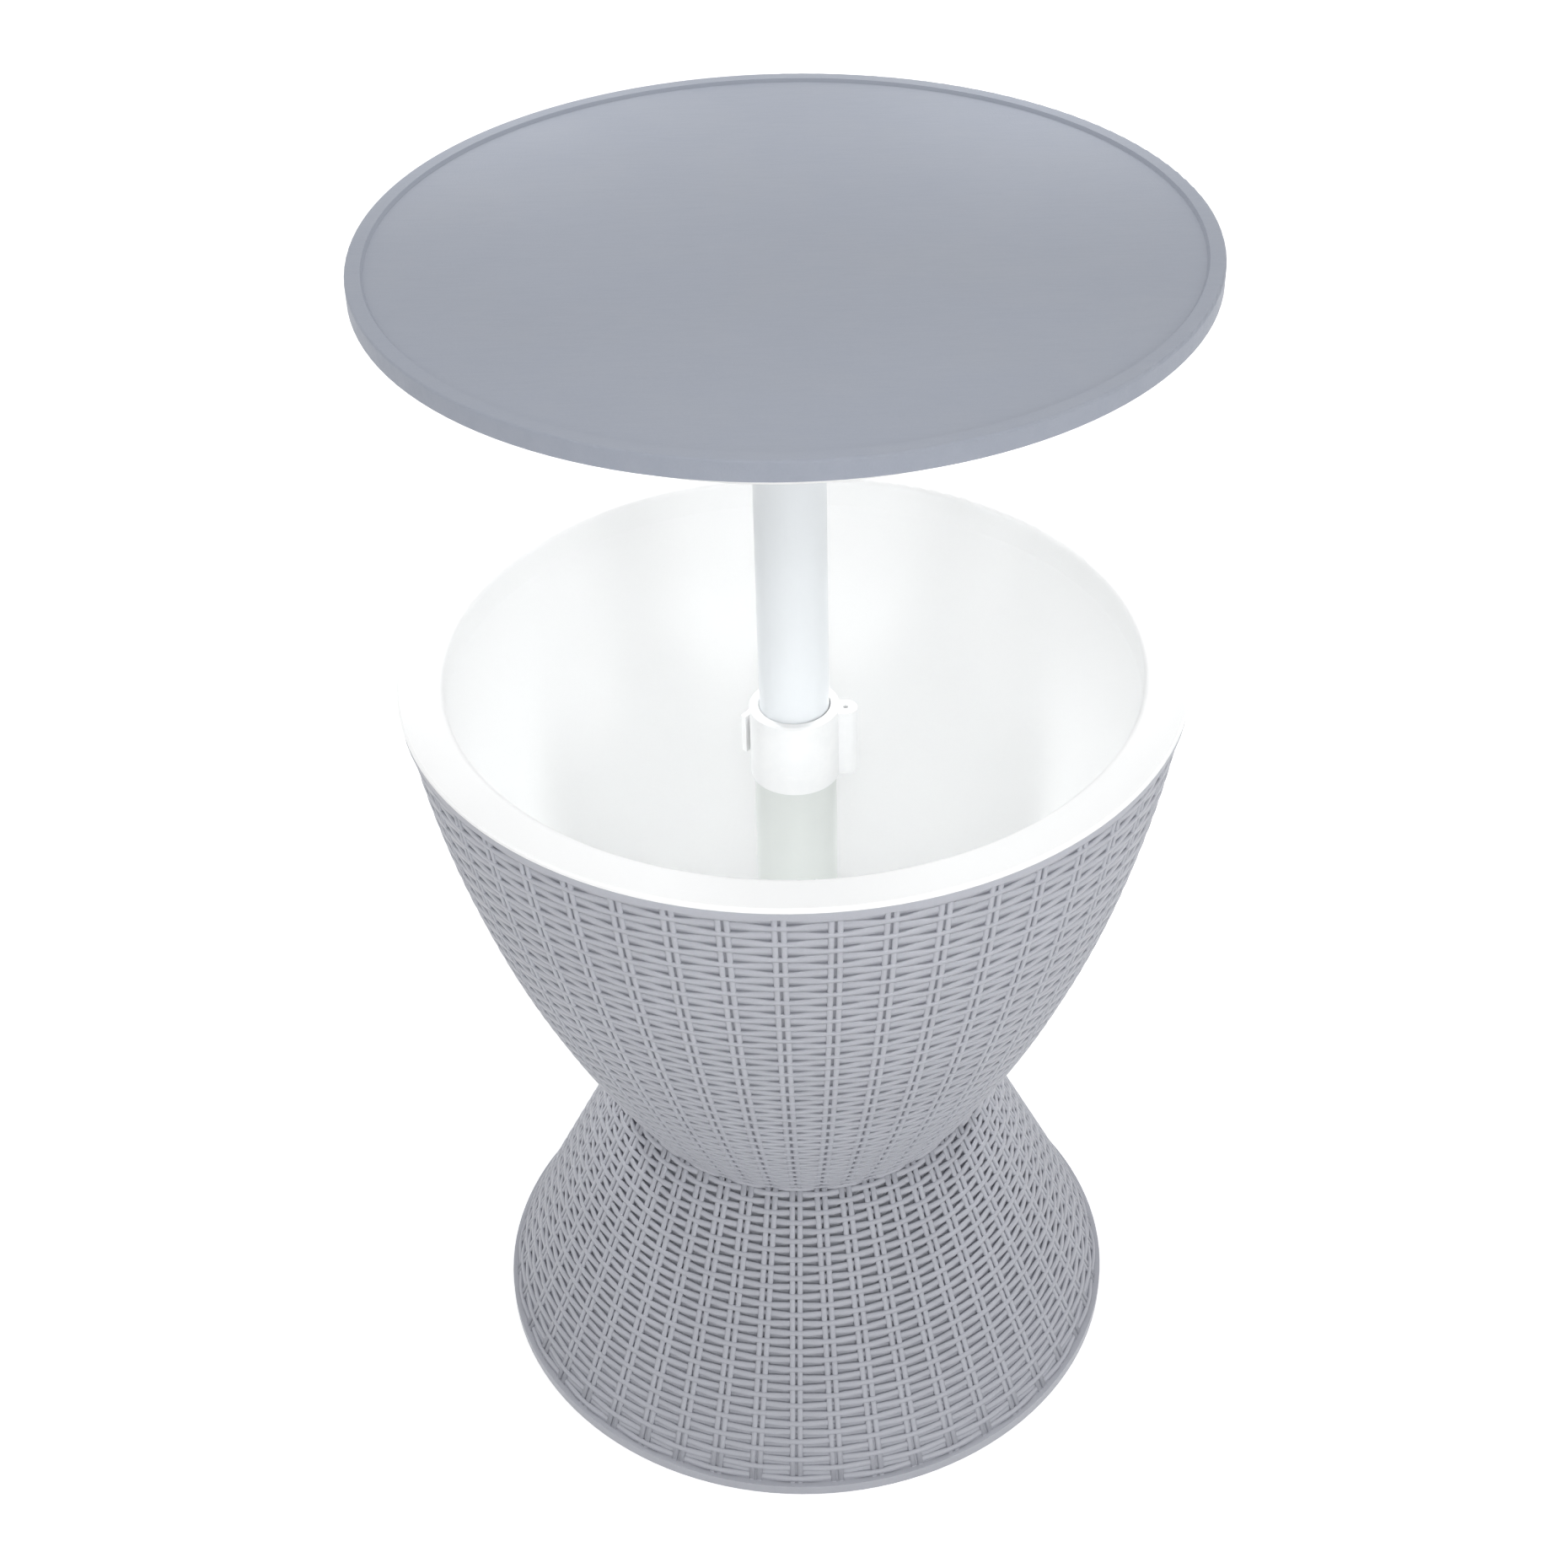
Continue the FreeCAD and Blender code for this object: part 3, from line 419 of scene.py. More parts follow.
@dataclass(frozen=True)
class Finish:
    """A moulded, extruded, rubber or metal finish.

    Heights are in metres and scales in waves per metre. The tone behind a relief is painted shade between
    two heights, the recess tone painted shade where a woven mesh lies deep, and the bore tone a painted
    shadow inside a bore's radius round the pole.
    """

    GLOSS_SWING = 0.03

    name: str
    slot: Slot
    color: Rgb
    roughness: float
    rub: Rgb = (0.8, 0.8, 0.8)
    rub_amount: float = 0.2
    mottle_amount: float = 0.06
    mottle_scale: float = 9.0
    grain_scale: float = 1500.0
    grain_height: float = 0.00006
    coarse: float = 0.4
    dust_amount: float = 0.05
    scuff_amount: float = 0.12
    metallic: float = 0.0
    ground_shade: Rgb | None = None
    ground_shade_low: float = 0.0
    ground_shade_high: float = 1.0
    crevice_shade: Rgb | None = None
    gap: Rgb | None = None
    gap_shade_radius: float = 0.0

    def material(self, effects: Effects) -> bpy.types.Material:
        """Builds the material.

        Args:
            effects: shared node groups.

        Returns:
            The material.
        """
        made = bpy.data.materials.new(self.name)
        made.use_nodes = True
        made.node_tree.nodes.clear()
        sheet = Wiring(made.node_tree)
        shader = sheet.node("ShaderNodeBsdfPrincipled")
        place = sheet.place()
        tone: object = opaque(self.color)
        # Painted shade on the wall behind a relief, between two heights.
        if self.ground_shade:
            tone = effects.shade.use(sheet, Place=place, Color=tone, Deep=opaque(self.ground_shade),
                                     Low=self.ground_shade_low, High=self.ground_shade_high)["Color"]
        mottled = effects.mottle.use(sheet, Place=place, Color=tone, Scale=self.mottle_scale,
                                     Amount=self.mottle_amount)
        tone = mottled["Color"]
        # Painted shade where a woven mesh lies deep.
        if self.crevice_shade:
            shade_depth = sheet.node("ShaderNodeAttribute", attribute_name=CREVICE_SHADE_NAME)
            tone = sheet.blend(shade_depth.outputs["Fac"], tone, opaque(self.crevice_shade))
        # Painted shadow in the bore round the pole.
        if self.gap:
            tone = effects.gap.use(sheet, Place=place, Color=tone, Deep=opaque(self.gap),
                                   Radius=self.gap_shade_radius)["Color"]
        worn = effects.wear.use(sheet, Place=place, Color=tone, Rub=opaque(self.rub), Amount=self.rub_amount)
        dusty = effects.dust.use(sheet, Place=place, Color=worn["Color"], Amount=self.dust_amount)
        sheen = sheet.span(mottled["Mask"], low=0, high=1, start=self.roughness - self.GLOSS_SWING,
                           end=self.roughness + self.GLOSS_SWING)
        gloss = effects.scuff.use(sheet, Place=place, Amount=self.scuff_amount, Roughness=sheen)
        height = effects.grain.use(sheet, Place=place, Scale=self.grain_scale, Coarse=self.coarse)
        bump = sheet.node("ShaderNodeBump")
        bump.inputs["Distance"].default_value = self.grain_height
        sheet.feed(bump.inputs["Height"], height["Height"])
        sheet.feed(shader.inputs["Base Color"], dusty["Color"])
        sheet.feed(shader.inputs["Roughness"], sheet.sum("ADD", gloss["Roughness"], dusty["Mask"]))
        sheet.feed(shader.inputs["Normal"], bump.outputs["Normal"])
        shader.inputs["Metallic"].default_value = self.metallic
        output = sheet.node("ShaderNodeOutputMaterial")
        sheet.feed(output.inputs["Surface"], shader.outputs["BSDF"])
        return made


GRAY: Rgb = (0.442, 0.453, 0.500)
# Painted shade on the wall behind the bowl's weave.
GRAY_GROUND_SHADE: Rgb = (0.25, 0.258, 0.29)
# Painted shade on the wall behind the base's weave, a little paler than the strands so that its gaps read
# less dark.
BASE_GROUND_SHADE: Rgb = (0.455, 0.468, 0.515)
GRAY_RUB: Rgb = (0.52, 0.54, 0.59)
WHITE: Rgb = (0.965, 0.97, 0.972)
# Painted shade in the recesses of the woven strands and stakes: the bowl's, then a paler one for the base.
WEAVE_CREVICE_SHADE: Rgb = (0.34, 0.35, 0.39)
BASE_CREVICE_SHADE: Rgb = (0.41, 0.42, 0.465)
WHITE_RUB: Rgb = (0.93, 0.93, 0.92)

TOP_FINISH = Finish(
    "gray_tray_resin", Slot.GRAY_TOP, color=(0.340, 0.368, 0.434), roughness=0.5, rub=GRAY_RUB,
    rub_amount=0.08, grain_scale=1700.0, grain_height=0.0001, mottle_amount=0.05, dust_amount=0.06)
BOWL_FINISH = Finish(
    "gray_bowl_resin", Slot.GRAY_WICKER, color=GRAY, roughness=0.42, rub=GRAY_RUB, rub_amount=0.2,
    ground_shade=GRAY_GROUND_SHADE, ground_shade_low=0.2035, ground_shade_high=0.5453)
BASE_FINISH = Finish(
    "gray_base_resin", Slot.GRAY_WICKER, color=GRAY, roughness=0.42, rub=GRAY_RUB, rub_amount=0.2,
    ground_shade=BASE_GROUND_SHADE, ground_shade_low=0.0105, ground_shade_high=0.2025)
WEAVE_FINISH = Finish(
    "gray_woven_resin", Slot.GRAY_WICKER, color=GRAY, roughness=0.36, rub=GRAY_RUB, rub_amount=0.25,
    crevice_shade=WEAVE_CREVICE_SHADE, mottle_amount=0.09, mottle_scale=14.0, dust_amount=0.04)
STAKE_FINISH = Finish(
    "gray_stake_resin", Slot.GRAY_WICKER, color=GRAY, roughness=0.38, rub=GRAY_RUB, rub_amount=0.25,
    crevice_shade=WEAVE_CREVICE_SHADE, mottle_amount=0.07, mottle_scale=11.0, dust_amount=0.04)
BASE_WEAVE_FINISH = Finish(
    "gray_base_woven_resin", Slot.GRAY_WICKER, color=GRAY, roughness=0.36, rub=GRAY_RUB, rub_amount=0.25,
    crevice_shade=BASE_CREVICE_SHADE, mottle_amount=0.09, mottle_scale=14.0, dust_amount=0.04)
BASE_STAKE_FINISH = Finish(
    "gray_base_stake_resin", Slot.GRAY_WICKER, color=GRAY, roughness=0.38, rub=GRAY_RUB, rub_amount=0.25,
    crevice_shade=BASE_CREVICE_SHADE, mottle_amount=0.07, mottle_scale=11.0, dust_amount=0.04)
WHITE_FINISH = Finish(
    "white_bucket_resin", Slot.WHITE_PLASTIC, color=WHITE, roughness=0.42, rub=WHITE_RUB,
    mottle_amount=0.015, dust_amount=0.02, grain_height=0.00003)
TUBE_FINISH = Finish(
    "white_tube_extrusion", Slot.WHITE_TUBE, color=(0.775, 0.805, 0.828), roughness=0.34,
    rub=(0.88, 0.88, 0.88), rub_amount=0.02, mottle_amount=0.012, dust_amount=0.01, grain_height=0.00001,
    scuff_amount=0.04)
SLEEVE_FINISH = Finish(
    "white_sleeve_extrusion", Slot.WHITE_TUBE, color=(0.655, 0.685, 0.665), roughness=0.36,
    rub=(0.9, 0.9, 0.9), rub_amount=0.02, mottle_amount=0.012, dust_amount=0.01, grain_height=0.00001,
    scuff_amount=0.04)
# The collar's bore carries a painted shadow round the pole.
COLLAR_FINISH = Finish(
    "white_collar_resin", Slot.WHITE_PLASTIC, color=(0.815, 0.825, 0.83), roughness=0.42, rub=WHITE_RUB,
    mottle_amount=0.015, dust_amount=0.02, grain_height=0.00003, gap=(0.03, 0.03, 0.035),
    gap_shade_radius=0.0233)
DARK_FINISH = Finish(
    "dark_moulded_parts", Slot.DARK_PLASTIC, color=(0.05, 0.05, 0.055), roughness=0.5,
    rub=(0.12, 0.12, 0.12))
SEAL_FINISH = Finish(
    "black_seal_rubber", Slot.SEAL_RUBBER, color=(0.03, 0.03, 0.03), roughness=0.75,
    rub=(0.07, 0.07, 0.07))
STOPPER_FINISH = Finish(
    "gray_stopper_rubber", Slot.STOPPER_RUBBER, color=(0.25, 0.27, 0.31), roughness=0.65,
    rub=(0.33, 0.35, 0.38))
STEEL_FINISH = Finish(
    "zinc_plated_steel", Slot.STEEL, color=(0.60, 0.60, 0.61), roughness=0.3, rub=(0.75, 0.75, 0.75),
    metallic=1.0, mottle_amount=0.15, mottle_scale=120.0, grain_scale=2500.0, grain_height=0.00003,
    scuff_amount=0.25)


class Workshop:
    """Keeps the effects and hands out each finish's material."""

    def __init__(self) -> None:
        """Builds the shared effects."""
        self.effects = Effects()
        self.made: dict[str, bpy.types.Material] = {}

    def material(self, finish: Finish) -> bpy.types.Material:
        """Gives a finish's material, built at its first use.

        Args:
            finish: the finish.

        Returns:
            The material.
        """
        if finish.name not in self.made:
            self.made[finish.name] = finish.material(self.effects)
        return self.made[finish.name]

    def dress(self, nodes: tuple[str, ...], finish: Finish) -> None:
        """Gives CAD nodes their finish.

        Args:
            nodes: names of the nodes.
            finish: the finish.
        """
        for name in nodes:
            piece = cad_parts[name]
            piece.data.materials.clear()
            piece.data.materials.append(self.material(finish))
            LOG.info("dressed %s in %s", name, finish.name)

    def add(self, name: str, mesh: bpy.types.Mesh, finish: Finish, body: Body) -> bpy.types.Object:
        """Adds a new piece to a body.

        Args:
            name: name of the piece.
            mesh: its mesh, in the frame's metres.
            finish: its finish.
            body: the body that it rides on.

        Returns:
            The piece.
        """
        piece = bpy.data.objects.new(name, mesh)
        bpy.context.scene.collection.objects.link(piece)
        mesh.materials.append(self.material(finish))
        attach(piece, body.value)
        LOG.info("made %s with %d faces", name, len(mesh.polygons))
        return piece


@dataclass(frozen=True)
class ArcWall:
    """Profile of a turned wall that is an arc through three points of radius and height."""

    top: tuple[float, float]
    middle: tuple[float, float]
    bottom: tuple[float, float]

    def centre(self) -> tuple[float, float, float]:
        """Finds the arc's centre.

        Returns:
            Centre's radius and height, and the arc's radius.
        """
        (ax, ay), (bx, by), (cx, cy) = self.top, self.middle, self.bottom
        d = 2 * (ax * (by - cy) + bx * (cy - ay) + cx * (ay - by))
        a, b, c = ax * ax + ay * ay, bx * bx + by * by, cx * cx + cy * cy
        x = (a * (by - cy) + b * (cy - ay) + c * (ay - by)) / d
        y = (a * (cx - bx) + b * (ax - cx) + c * (bx - ax)) / d
        return x, y, math.hypot(ax - x, ay - y)

    def at(self, z: float) -> tuple[float, float, float]:
        """Finds the wall at a height.

        Args:
            z: height.

        Returns:
            Radius, and the outward normal's radial and upward parts.
        """
        x, y, size = self.centre()
        r = x + math.sqrt(size * size - (z - y) ** 2)
        return r, (r - x) / size, (z - y) / size


@dataclass(frozen=True)
class ConeWall:
    """Profile of a turned wall that is straight between two points of radius and height."""

    top: tuple[float, float]
    bottom: tuple[float, float]

    def at(self, z: float) -> tuple[float, float, float]:
        """Finds the wall at a height.

        Args:
            z: height.

        Returns:
            Radius, and the outward normal's radial and upward parts.
        """
        rise = (z - self.bottom[1]) / (self.top[1] - self.bottom[1])
        run, lift = self.top[0] - self.bottom[0], self.top[1] - self.bottom[1]
        size = math.hypot(run, lift)
        return self.bottom[0] + run * rise, lift / size, -run / size


@dataclass(frozen=True)
class Weave:
    """Woven relief on a turned wall: level strands that pass over and under upright double stakes.

    Shares are parts of the pitch, from a strand's middle to its edge: cross_share where the strand crosses
    over a stake, and full_share beyond it, reached at full_by of the way to the next. lift and dive are the
    places of its middle over and under the stakes, and dip is how much deeper it goes behind the slit. From
    the height calm_from down to calm_to the weave grows calmer, towards calm_dive and calm_share.
    """

    name: str
    wall: ArcWall | ConeWall
    rows: tuple[float, ...]
    pitch: Callable[[float], float]
    first_over: int
    stake_low: float
    stake_high: float
    stake_steps: int
    cross_share: float = 0.30
    full_share: float = 0.505
    full_by: float = 0.6
    lift: float = 0.45
    dive: float = -0.6
    dip: float = 1.2
    thick: float = 1.4
    stake_half: float = 1.9
    stake_thick: float = 1.5
    slit_half: float = 0.7
    pairs: int = 48
    first_pair_deg: float = -3.0
    calm_from: float = 0.0
    calm_to: float = -1.0
    calm_dive: float = 0.1
    calm_share: float = 0.36

    SECTION = ((-1.0, -0.3), (-0.86, 0.76), (0.0, 1.0), (0.86, 0.76), (1.0, -0.3), (0.0, -1.0))
    # How much painted shade each section point takes, most at the back and sides, and how much more where a
    # strand goes under the stakes.
    SECTION_SHADE_DEPTH = (0.8, 0.1, 0.0, 0.1, 0.8, 1.0)
    WAY = (0.12, 0.25, 0.5, 0.75, 0.88)
    UNDER_SHADE = 0.15

    def spot(self, z: float, angle: float, side: float, up: float, out: float) -> Point:
        """Places a point by the wall.

        Args:
            z: height on the wall.
            angle: angle from the front towards the right, in radians.
            side: shift along the wall sideways.
            up: shift along the wall upwards.
            out: shift outwards.

        Returns:
            The point in metres.
        """
        r, nr, nz = self.wall.at(z)
        r, z = r + out * nr - up * nz, z + out * nz + up * nr
        s, c = math.sin(angle), math.cos(angle)
        return (r * s + side * c) * MM, (side * s - r * c) * MM, z * MM

    def row(self, index: int) -> list[Ring]:
        """Lays out one strand as rings of section points, each with the painted shade of its place in the
        relief.

        Args:
            index: number of the row from the first.

        Returns:
            One ring after the other round the wall.
        """
        z = self.rows[index]
        radius = self.wall.at(z)[0]
        step = 2 * math.pi / self.pairs
        clear = (self.slit_half + 2 * self.stake_half) / (radius * step)
        ways = [clear + (1 - 2 * clear) * w for w in self.WAY]
        half_span = [0.0, clear, *ways, 1 - clear]
        pitch = self.pitch(z)
        calm = held((self.calm_from - z) / (self.calm_from - self.calm_to))
        dive = self.dive + (self.calm_dive - self.dive) * calm
        cross = self.cross_share + (self.calm_share - self.cross_share) * calm
        rings: list[Ring] = []
        for pair in range(0, self.pairs, 2):
            start = math.radians(self.first_pair_deg) + step * (pair + (index + self.first_over) % 2)
            for u in [*half_span, 1.0, *[-v for v in reversed(half_span[1:])]]:
                away = abs(u)
                go = held((away - clear) / (1 - 2 * clear))
                soft = ease(go)
                grow = ease(min(go / self.full_by, 1.0))
                hidden = max(0.0, (away - 1 + clear) / clear)
                out = self.lift + (dive - self.lift) * soft - self.dip * hidden
                half = pitch * (cross + (self.full_share - cross) * grow)
                angle = start + (u if u >= 0 else 2 + u) * step
                points = [self.spot(z, angle, 0.0, a * half, out + b * self.thick) for a, b in self.SECTION]
                sunk_shade = self.UNDER_SHADE * soft
                rings.append((points, [min(1.0, d + sunk_shade * (1 - d)) for d in self.SECTION_SHADE_DEPTH]))
        return rings

    def strands(self) -> bpy.types.Mesh:
        """Builds every row as a closed hoop.

        Returns:
            The mesh.
        """
        build = MeshMaker(self.name + "_strands")
        for index in range(len(self.rows)):
            build.hoop(self.row(index))
        return build.mesh()

    def stakes(self) -> bpy.types.Mesh:
        """Builds the upright double stakes.

        Returns:
            The mesh.
        """
        build = MeshMaker(self.name + "_stakes")
        heights = [self.stake_low + (self.stake_high - self.stake_low) * i / self.stake_steps
                   for i in range(self.stake_steps + 1)]
        for pair in range(self.pairs):
            angle = math.radians(self.first_pair_deg) + 2 * math.pi * pair / self.pairs
            for side in (-1, 1):
                middle = side * (self.slit_half + self.stake_half)
                rings: list[Ring] = []
                for z in heights:
                    points = [self.spot(z, angle, middle + a * self.stake_half, 0.0, b * self.stake_thick)
                              for a, b in self.SECTION]
                    rings.append((points, list(self.SECTION_SHADE_DEPTH)))
                build.rod(rings)
        return build.mesh()


class MeshMaker:
    """Collects rings of points into one smooth mesh with a painted-shade value at each point."""

    def __init__(self, name: str) -> None:
        """Starts an empty mesh.

        Args:
            name: name of the mesh.
        """
        self.name = name
        self.points: list[Point] = []
        self.shade_depths: list[float] = []
        self.faces: list[tuple[int, ...]] = []

    def _rings(self, rings: list[Ring], closed: bool) -> tuple[int, int, int]:
        """Adds rings and the faces between them.

        Args:
            rings: rings of points with their painted-shade values.
            closed: whether the last ring joins the first.

        Returns:
            First point's number, ring count and points in a ring.
        """
        base, count, size = len(self.points), len(rings), len(Weave.SECTION)
        for points, shade_depths in rings:
            self.points.extend(points)
            self.shade_depths.extend(shade_depths)
        for i in range(count if closed else count - 1):
            a, b = base + i * size, base + (i + 1) % count * size
            self.faces.extend((a + j, a + (j + 1) % size, b + (j + 1) % size, b + j) for j in range(size))
        return base, count, size

    def hoop(self, rings: list[Ring]) -> None:
        """Adds a closed hoop of rings.

        Args:
            rings: rings of points with their painted-shade values.
        """
        self._rings(rings, True)

    def rod(self, rings: list[Ring]) -> None:
        """Adds a rod with closed ends.

        Args:
            rings: rings of points with their painted-shade values.
        """
        base, count, size = self._rings(rings, False)
        self.faces.append(tuple(base + j for j in reversed(range(size))))
        self.faces.append(tuple(base + (count - 1) * size + j for j in range(size)))

    def mesh(self) -> bpy.types.Mesh:
        """Makes the mesh.

        Returns:
            The mesh, with outward faces, smooth shading and the attribute of painted recess shade.
        """
        made = bpy.data.meshes.new(self.name)
        made.from_pydata(self.points, [], self.faces)
        made.validate()
        shade_depth = made.attributes.new(CREVICE_SHADE_NAME, "FLOAT", "POINT")
        shade_depth.data.foreach_set("value", np.array(self.shade_depths, np.float32))
        made.polygons.foreach_set("use_smooth", np.ones(len(made.polygons), bool))
        made.update()
        return made


@dataclass
class Top:
    """Lifting table top with its white underside, hub and screws."""

    shell: tuple[str, ...] = ("tabletop",)
    white: tuple[str, ...] = ("lid_underside", "lid_hub")
    metal: tuple[str, ...] = ("hub_screws", "rim_screws", "hub_bolt", "hub_bolt_nut")

    def build(self, shop: Workshop) -> None:
        """Dresses the top's pieces.

        Args:
            shop: source of finishes.
        """
        shop.dress(self.shell, TOP_FINISH)
        shop.dress(self.white, WHITE_FINISH)
        shop.dress(self.metal, STEEL_FINISH)


@dataclass
class Pole:
    """Telescoping pole with its lock collar and cam lever."""

    tube: tuple[str, ...] = ("upper_tube",)
    sleeve: tuple[str, ...] = ("lower_tube",)
    collar: tuple[str, ...] = ("lock_collar",)
    white: tuple[str, ...] = ("lock_lever",)
    dark: tuple[str, ...] = ("upper_tube_cap", "guide_bush", "lower_tube_cap", "clamp_shoe")
    metal: tuple[str, ...] = ("retaining_ring", "lever_pin")

    def build(self, shop: Workshop) -> None:
        """Dresses the pole's pieces.

        Args:
            shop: source of finishes.
        """
        shop.dress(self.tube, TUBE_FINISH)
        shop.dress(self.sleeve, SLEEVE_FINISH)
        shop.dress(self.collar, COLLAR_FINISH)
        shop.dress(self.white, WHITE_FINISH)
        shop.dress(self.dark, DARK_FINISH)
        shop.dress(self.metal, STEEL_FINISH)


@dataclass
class Bucket:
    """White ice bucket with its drain and seals."""

    white: tuple[str, ...] = ("liner_bucket", "drain_spout")
    seals: tuple[str, ...] = ("floor_seal", "drain_seal")
    stopper: tuple[str, ...] = ("drain_stopper",)
    dark: tuple[str, ...] = ("drain_nut", "pole_nut")

    def build(self, shop: Workshop) -> None:
        """Dresses the bucket's pieces.

        Args:
            shop: source of finishes.
        """
        shop.dress(self.white, WHITE_FINISH)
        shop.dress(self.seals, SEAL_FINISH)
        shop.dress(self.stopper, STOPPER_FINISH)
        shop.dress(self.dark, DARK_FINISH)


@dataclass
class Bowl:
    """Gray bowl with its woven relief. The rows lie closer together and get thinner towards the waist."""

    shell: tuple[str, ...] = ("bowl_shell",)
    wall: ArcWall = ArcWall(top=(245.7, 545.5), middle=(205.2, 372.0), bottom=(125.0, 203.0))
    row_count: int = 59
    top_row: float = 543.3
    row_step: float = 6.75
    step_loss: float = 0.0051
    step_loss_growth: float = 0.00019
    waist_pitch: float = 5.1
    pitch_growth: float = 1.55
    wall_rise: float = 340.0

    def rows(self) -> tuple[float, ...]:
        """Finds the heights of the rows.

        Returns:
            The heights, from the rim down.
        """
        return tuple(
            self.top_row - self.row_step * k + self.step_loss * k * k + self.step_loss_growth * k ** 3
            for k in range(self.row_count))

    def pitch(self, z: float) -> float:
        """Room that a row takes at a height."""
        return self.waist_pitch + self.pitch_growth * (z - self.wall.bottom[1]) / self.wall_rise

    def build(self, shop: Workshop) -> None:
        """Dresses the bowl and adds its weave.

        Args:
            shop: source of finishes.
        """
        weave = Weave(name="bowl", wall=self.wall, rows=self.rows(), pitch=self.pitch, first_over=1,
                      stake_low=202.0, stake_high=545.0, stake_steps=24, calm_from=330.0, calm_to=235.0)
        shop.dress(self.shell, BOWL_FINISH)
        shop.add("bowl_strands", weave.strands(), WEAVE_FINISH, Body.STAND)
        shop.add("bowl_stakes", weave.stakes(), STAKE_FINISH, Body.STAND)


@dataclass
class Base:
    """Flared gray base with its woven relief and screws. One row lies on the foot and one under the bowl."""

    shell: tuple[str, ...] = ("base_cone",)
    metal: tuple[str, ...] = ("waist_screws",)
    wall: ConeWall = ConeWall(top=(125.8, 203.0), bottom=(218.6, 8.0))
    foot_row: float = 10.6
    first_row: float = 11.4
    row_step: float = 6.05
    row_count: int = 31
    neck_row: float = 203.2
    row_pitch: float = 6.74

    def rows(self) -> tuple[float, ...]:
        """Heights of the rows, from the foot up."""
        even = (self.first_row + self.row_step * m for m in range(1, self.row_count + 1))
        return (self.foot_row, *even, self.neck_row)

    def build(self, shop: Workshop) -> None:
        """Dresses the base and adds its weave.

        Args:
            shop: source of finishes.
        """
        weave = Weave(name="base", wall=self.wall, rows=self.rows(), pitch=lambda z: self.row_pitch,
                      first_over=0, stake_low=8.4, stake_high=203.6, stake_steps=6, cross_share=0.29,
                      full_share=0.345, full_by=0.2, lift=0.8, dive=-0.4, stake_half=2.05, slit_half=0.55)
        shop.dress(self.shell, BASE_FINISH)
        shop.dress(self.metal, STEEL_FINISH)
        shop.add("base_strands", weave.strands(), BASE_WEAVE_FINISH, Body.STAND)
        shop.add("base_stakes", weave.stakes(), BASE_STAKE_FINISH, Body.STAND)


@dataclass
class Lamp:
    """A lamp that hangs in the room and faces a point. Places are in metres and powers in watts."""

    name: str
    place: Point
    aim: Point
    power: float

    def hang(self, light: bpy.types.Light) -> None:
        """Hangs a light at the lamp's place.

        Args:
            light: the light.
        """
        light.energy = self.power
        holder = bpy.data.objects.new(self.name, light)
        holder.location = self.place
        holder.rotation_mode = "QUATERNION"
        holder.rotation_quaternion = (Vector(self.aim) - Vector(self.place)).to_track_quat("-Z", "Y")
        bpy.context.scene.collection.objects.link(holder)


@dataclass
class SoftBox(Lamp):
    """Square soft lamp."""

    size: float = 1.6

    def build(self) -> None:
        """Builds and hangs the lamp."""
        light = bpy.data.lights.new(self.name, "AREA")
        light.shape, light.size = "SQUARE", self.size
        self.hang(light)


@dataclass
class Spot(Lamp):
    """Soft narrow lamp that reaches under the raised top into the bucket."""

    cone_deg: float = 14.0
    soft_radius: float = 0.2

    def build(self) -> None:
        """Builds and hangs the lamp."""
        light = bpy.data.lights.new(self.name, "SPOT")
        light.spot_size, light.spot_blend = math.radians(self.cone_deg), 1.0
        light.shadow_soft_size = self.soft_radius
        self.hang(light)


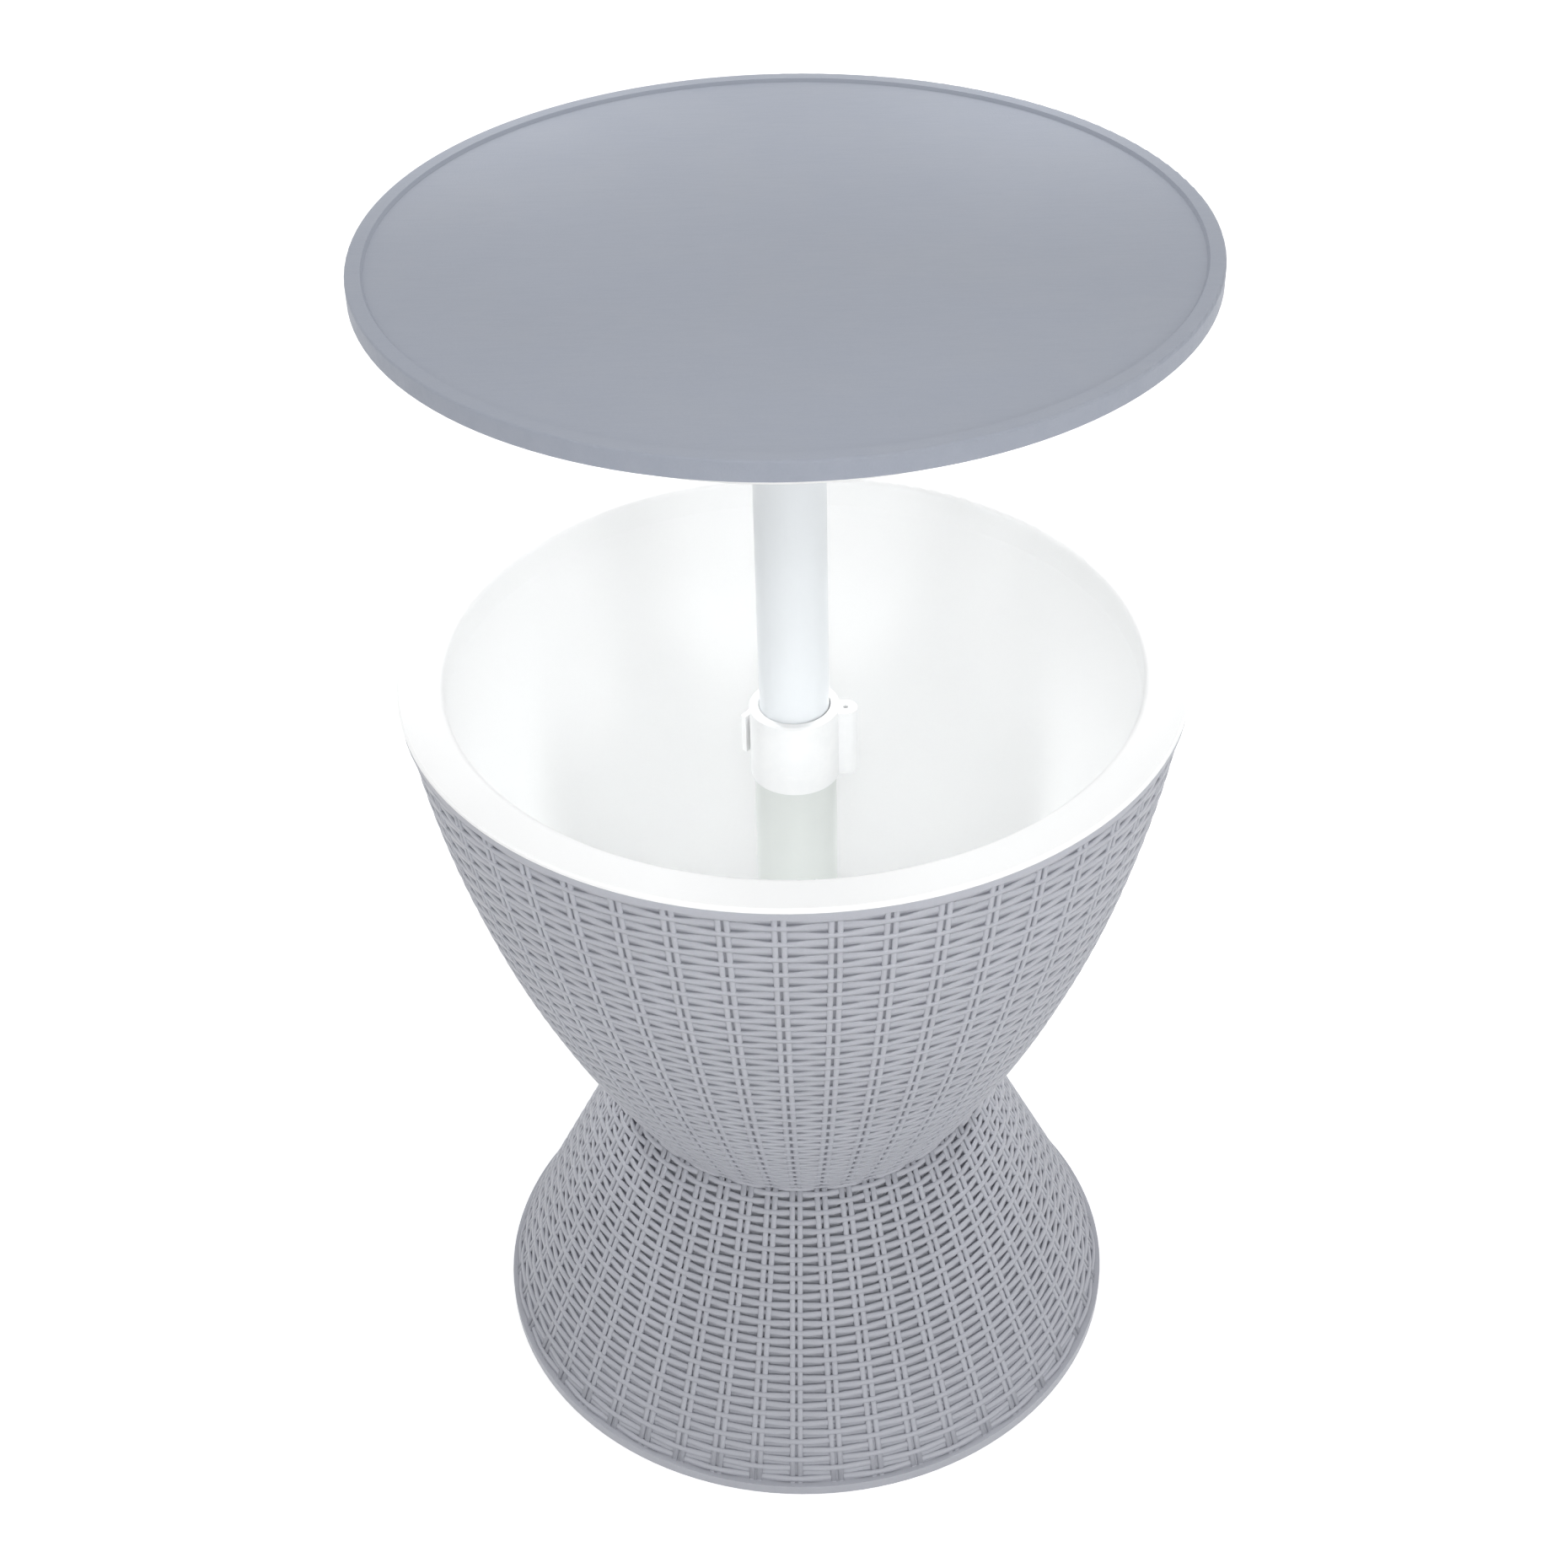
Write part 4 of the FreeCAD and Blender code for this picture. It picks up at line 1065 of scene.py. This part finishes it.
@dataclass
class Studio:
    """Pale floor, soft light and the camera."""

    floor_half: float = 6.0
    floor_tone: float = 0.8
    floor_glow: float = 0.5
    zenith_light: float = 0.95
    horizon_light: float = 0.56
    lens: float = 58.08
    sensor: float = 36.0
    camera_place: Point = (-0.0079, -1.324, 1.460)
    camera_down_deg: float = 37.29
    camera_roll_deg: float = -1.45
    clip_start: float = 0.05
    clip_end: float = 50.0
    lamps: tuple[SoftBox | Spot, ...] = (
        SoftBox("soft_front_right", (1.5, -2.6, 1.3), (0.0, 0.0, 0.42), power=16.0),
        SoftBox("soft_front_left", (-1.8, -2.4, 1.0), (0.0, 0.0, 0.42), power=1.5),
        Spot("bucket_fill_front", (0.0, -1.4, 1.62), (0.0, 0.0, 0.38), power=31.5),
        Spot("bucket_fill_left", (-0.95, -1.6, 1.2), (0.0, 0.03, 0.50), power=14.0),
        Spot("bucket_fill_right", (0.95, -1.6, 1.2), (0.0, 0.03, 0.50), power=21.5),
        Spot("bucket_back_left", (-0.85, 1.15, 1.65), (0.0, 0.0, 0.38), power=174.0),
        Spot("bucket_back_right", (0.85, 1.15, 1.65), (0.0, 0.0, 0.38), power=174.0),
    )

    @staticmethod
    def seen(sheet: Wiring) -> Socket:
        """Tells rays that show the background from rays that light the object.

        Args:
            sheet: wiring of the material or the world.

        Returns:
            1 for camera, mirror and glass rays.
        """
        path = sheet.node("ShaderNodeLightPath").outputs
        first = sheet.sum("MAXIMUM", path["Is Camera Ray"], path["Is Glossy Ray"])
        return sheet.sum("MAXIMUM", first, path["Is Transmission Ray"])

    def world(self) -> None:
        """Sets the room's even light and the white that the camera sees behind the table."""
        world = bpy.data.worlds.new("pale_room")
        world.use_nodes = True
        world.node_tree.nodes.clear()
        sheet = Wiring(world.node_tree)
        light = sheet.node("ShaderNodeBackground")
        light.inputs["Color"].default_value = BLANK
        parts = sheet.node("ShaderNodeSeparateXYZ")
        sheet.feed(parts.inputs[0], sheet.node("ShaderNodeTexCoord").outputs["Generated"])
        even = sheet.span(parts.outputs["Z"], low=0.0, high=0.9, start=self.horizon_light,
                          end=self.zenith_light)
        sheet.feed(light.inputs["Strength"], sheet.span(self.seen(sheet), low=0, high=1, start=even))
        sheet.feed(sheet.node("ShaderNodeOutputWorld").inputs["Surface"], light.outputs[0])
        bpy.context.scene.world = world

    def floor(self) -> None:
        """Lays the pale floor, which takes the table's soft shadow."""
        half = self.floor_half
        mesh = bpy.data.meshes.new("studio_floor")
        corners = [(-half, -half, 0), (half, -half, 0), (half, half, 0), (-half, half, 0)]
        mesh.from_pydata(corners, [], [(0, 1, 2, 3)])
        floor = bpy.data.objects.new("studio_floor", mesh)
        bpy.context.scene.collection.objects.link(floor)
        made = bpy.data.materials.new("pale_floor")
        made.use_nodes = True
        made.node_tree.nodes.clear()
        sheet = Wiring(made.node_tree)
        matt = sheet.node("ShaderNodeBsdfDiffuse")
        matt.inputs["Color"].default_value = opaque((self.floor_tone, self.floor_tone, self.floor_tone))
        glow = sheet.node("ShaderNodeEmission")
        sheet.feed(glow.inputs["Strength"], sheet.sum("MULTIPLY", self.seen(sheet), self.floor_glow))
        both = sheet.node("ShaderNodeAddShader")
        sheet.feed(both.inputs[0], matt.outputs[0])
        sheet.feed(both.inputs[1], glow.outputs[0])
        sheet.feed(sheet.node("ShaderNodeOutputMaterial").inputs["Surface"], both.outputs[0])
        mesh.materials.append(made)

    def camera(self) -> None:
        """Stands the camera where the photograph was taken."""
        data = bpy.data.cameras.new("camera")
        data.sensor_fit, data.sensor_width, data.lens = "HORIZONTAL", self.sensor, self.lens
        data.clip_start, data.clip_end = self.clip_start, self.clip_end
        down, roll = math.radians(self.camera_down_deg), math.radians(self.camera_roll_deg)
        ahead = Vector((0, math.cos(down), -math.sin(down)))
        up = Vector((0, math.sin(down), math.cos(down)))
        right = Vector((1, 0, 0))
        across = right * math.cos(roll) + up * math.sin(roll)
        over = up * math.cos(roll) - right * math.sin(roll)
        turn = Matrix((across, over, -ahead)).transposed().to_4x4()
        holder = bpy.data.objects.new("camera", data)
        holder.matrix_world = Matrix.Translation(self.camera_place) @ turn
        bpy.context.scene.collection.objects.link(holder)
        bpy.context.scene.camera = holder

    def build(self) -> None:
        """Builds the studio."""
        self.world()
        self.floor()
        self.camera()
        for lamp in self.lamps:
            lamp.build()
        bpy.context.scene.view_settings.view_transform = "Standard"


def main() -> None:
    """Builds the table's sub-assemblies and the studio."""
    logging.basicConfig(level=logging.INFO, format="%(message)s")
    shop = Workshop()
    for part in (Top(), Pole(), Bucket(), Bowl(), Base()):
        part.build(shop)
    Studio().build()


if __name__ == "__main__":
    main()
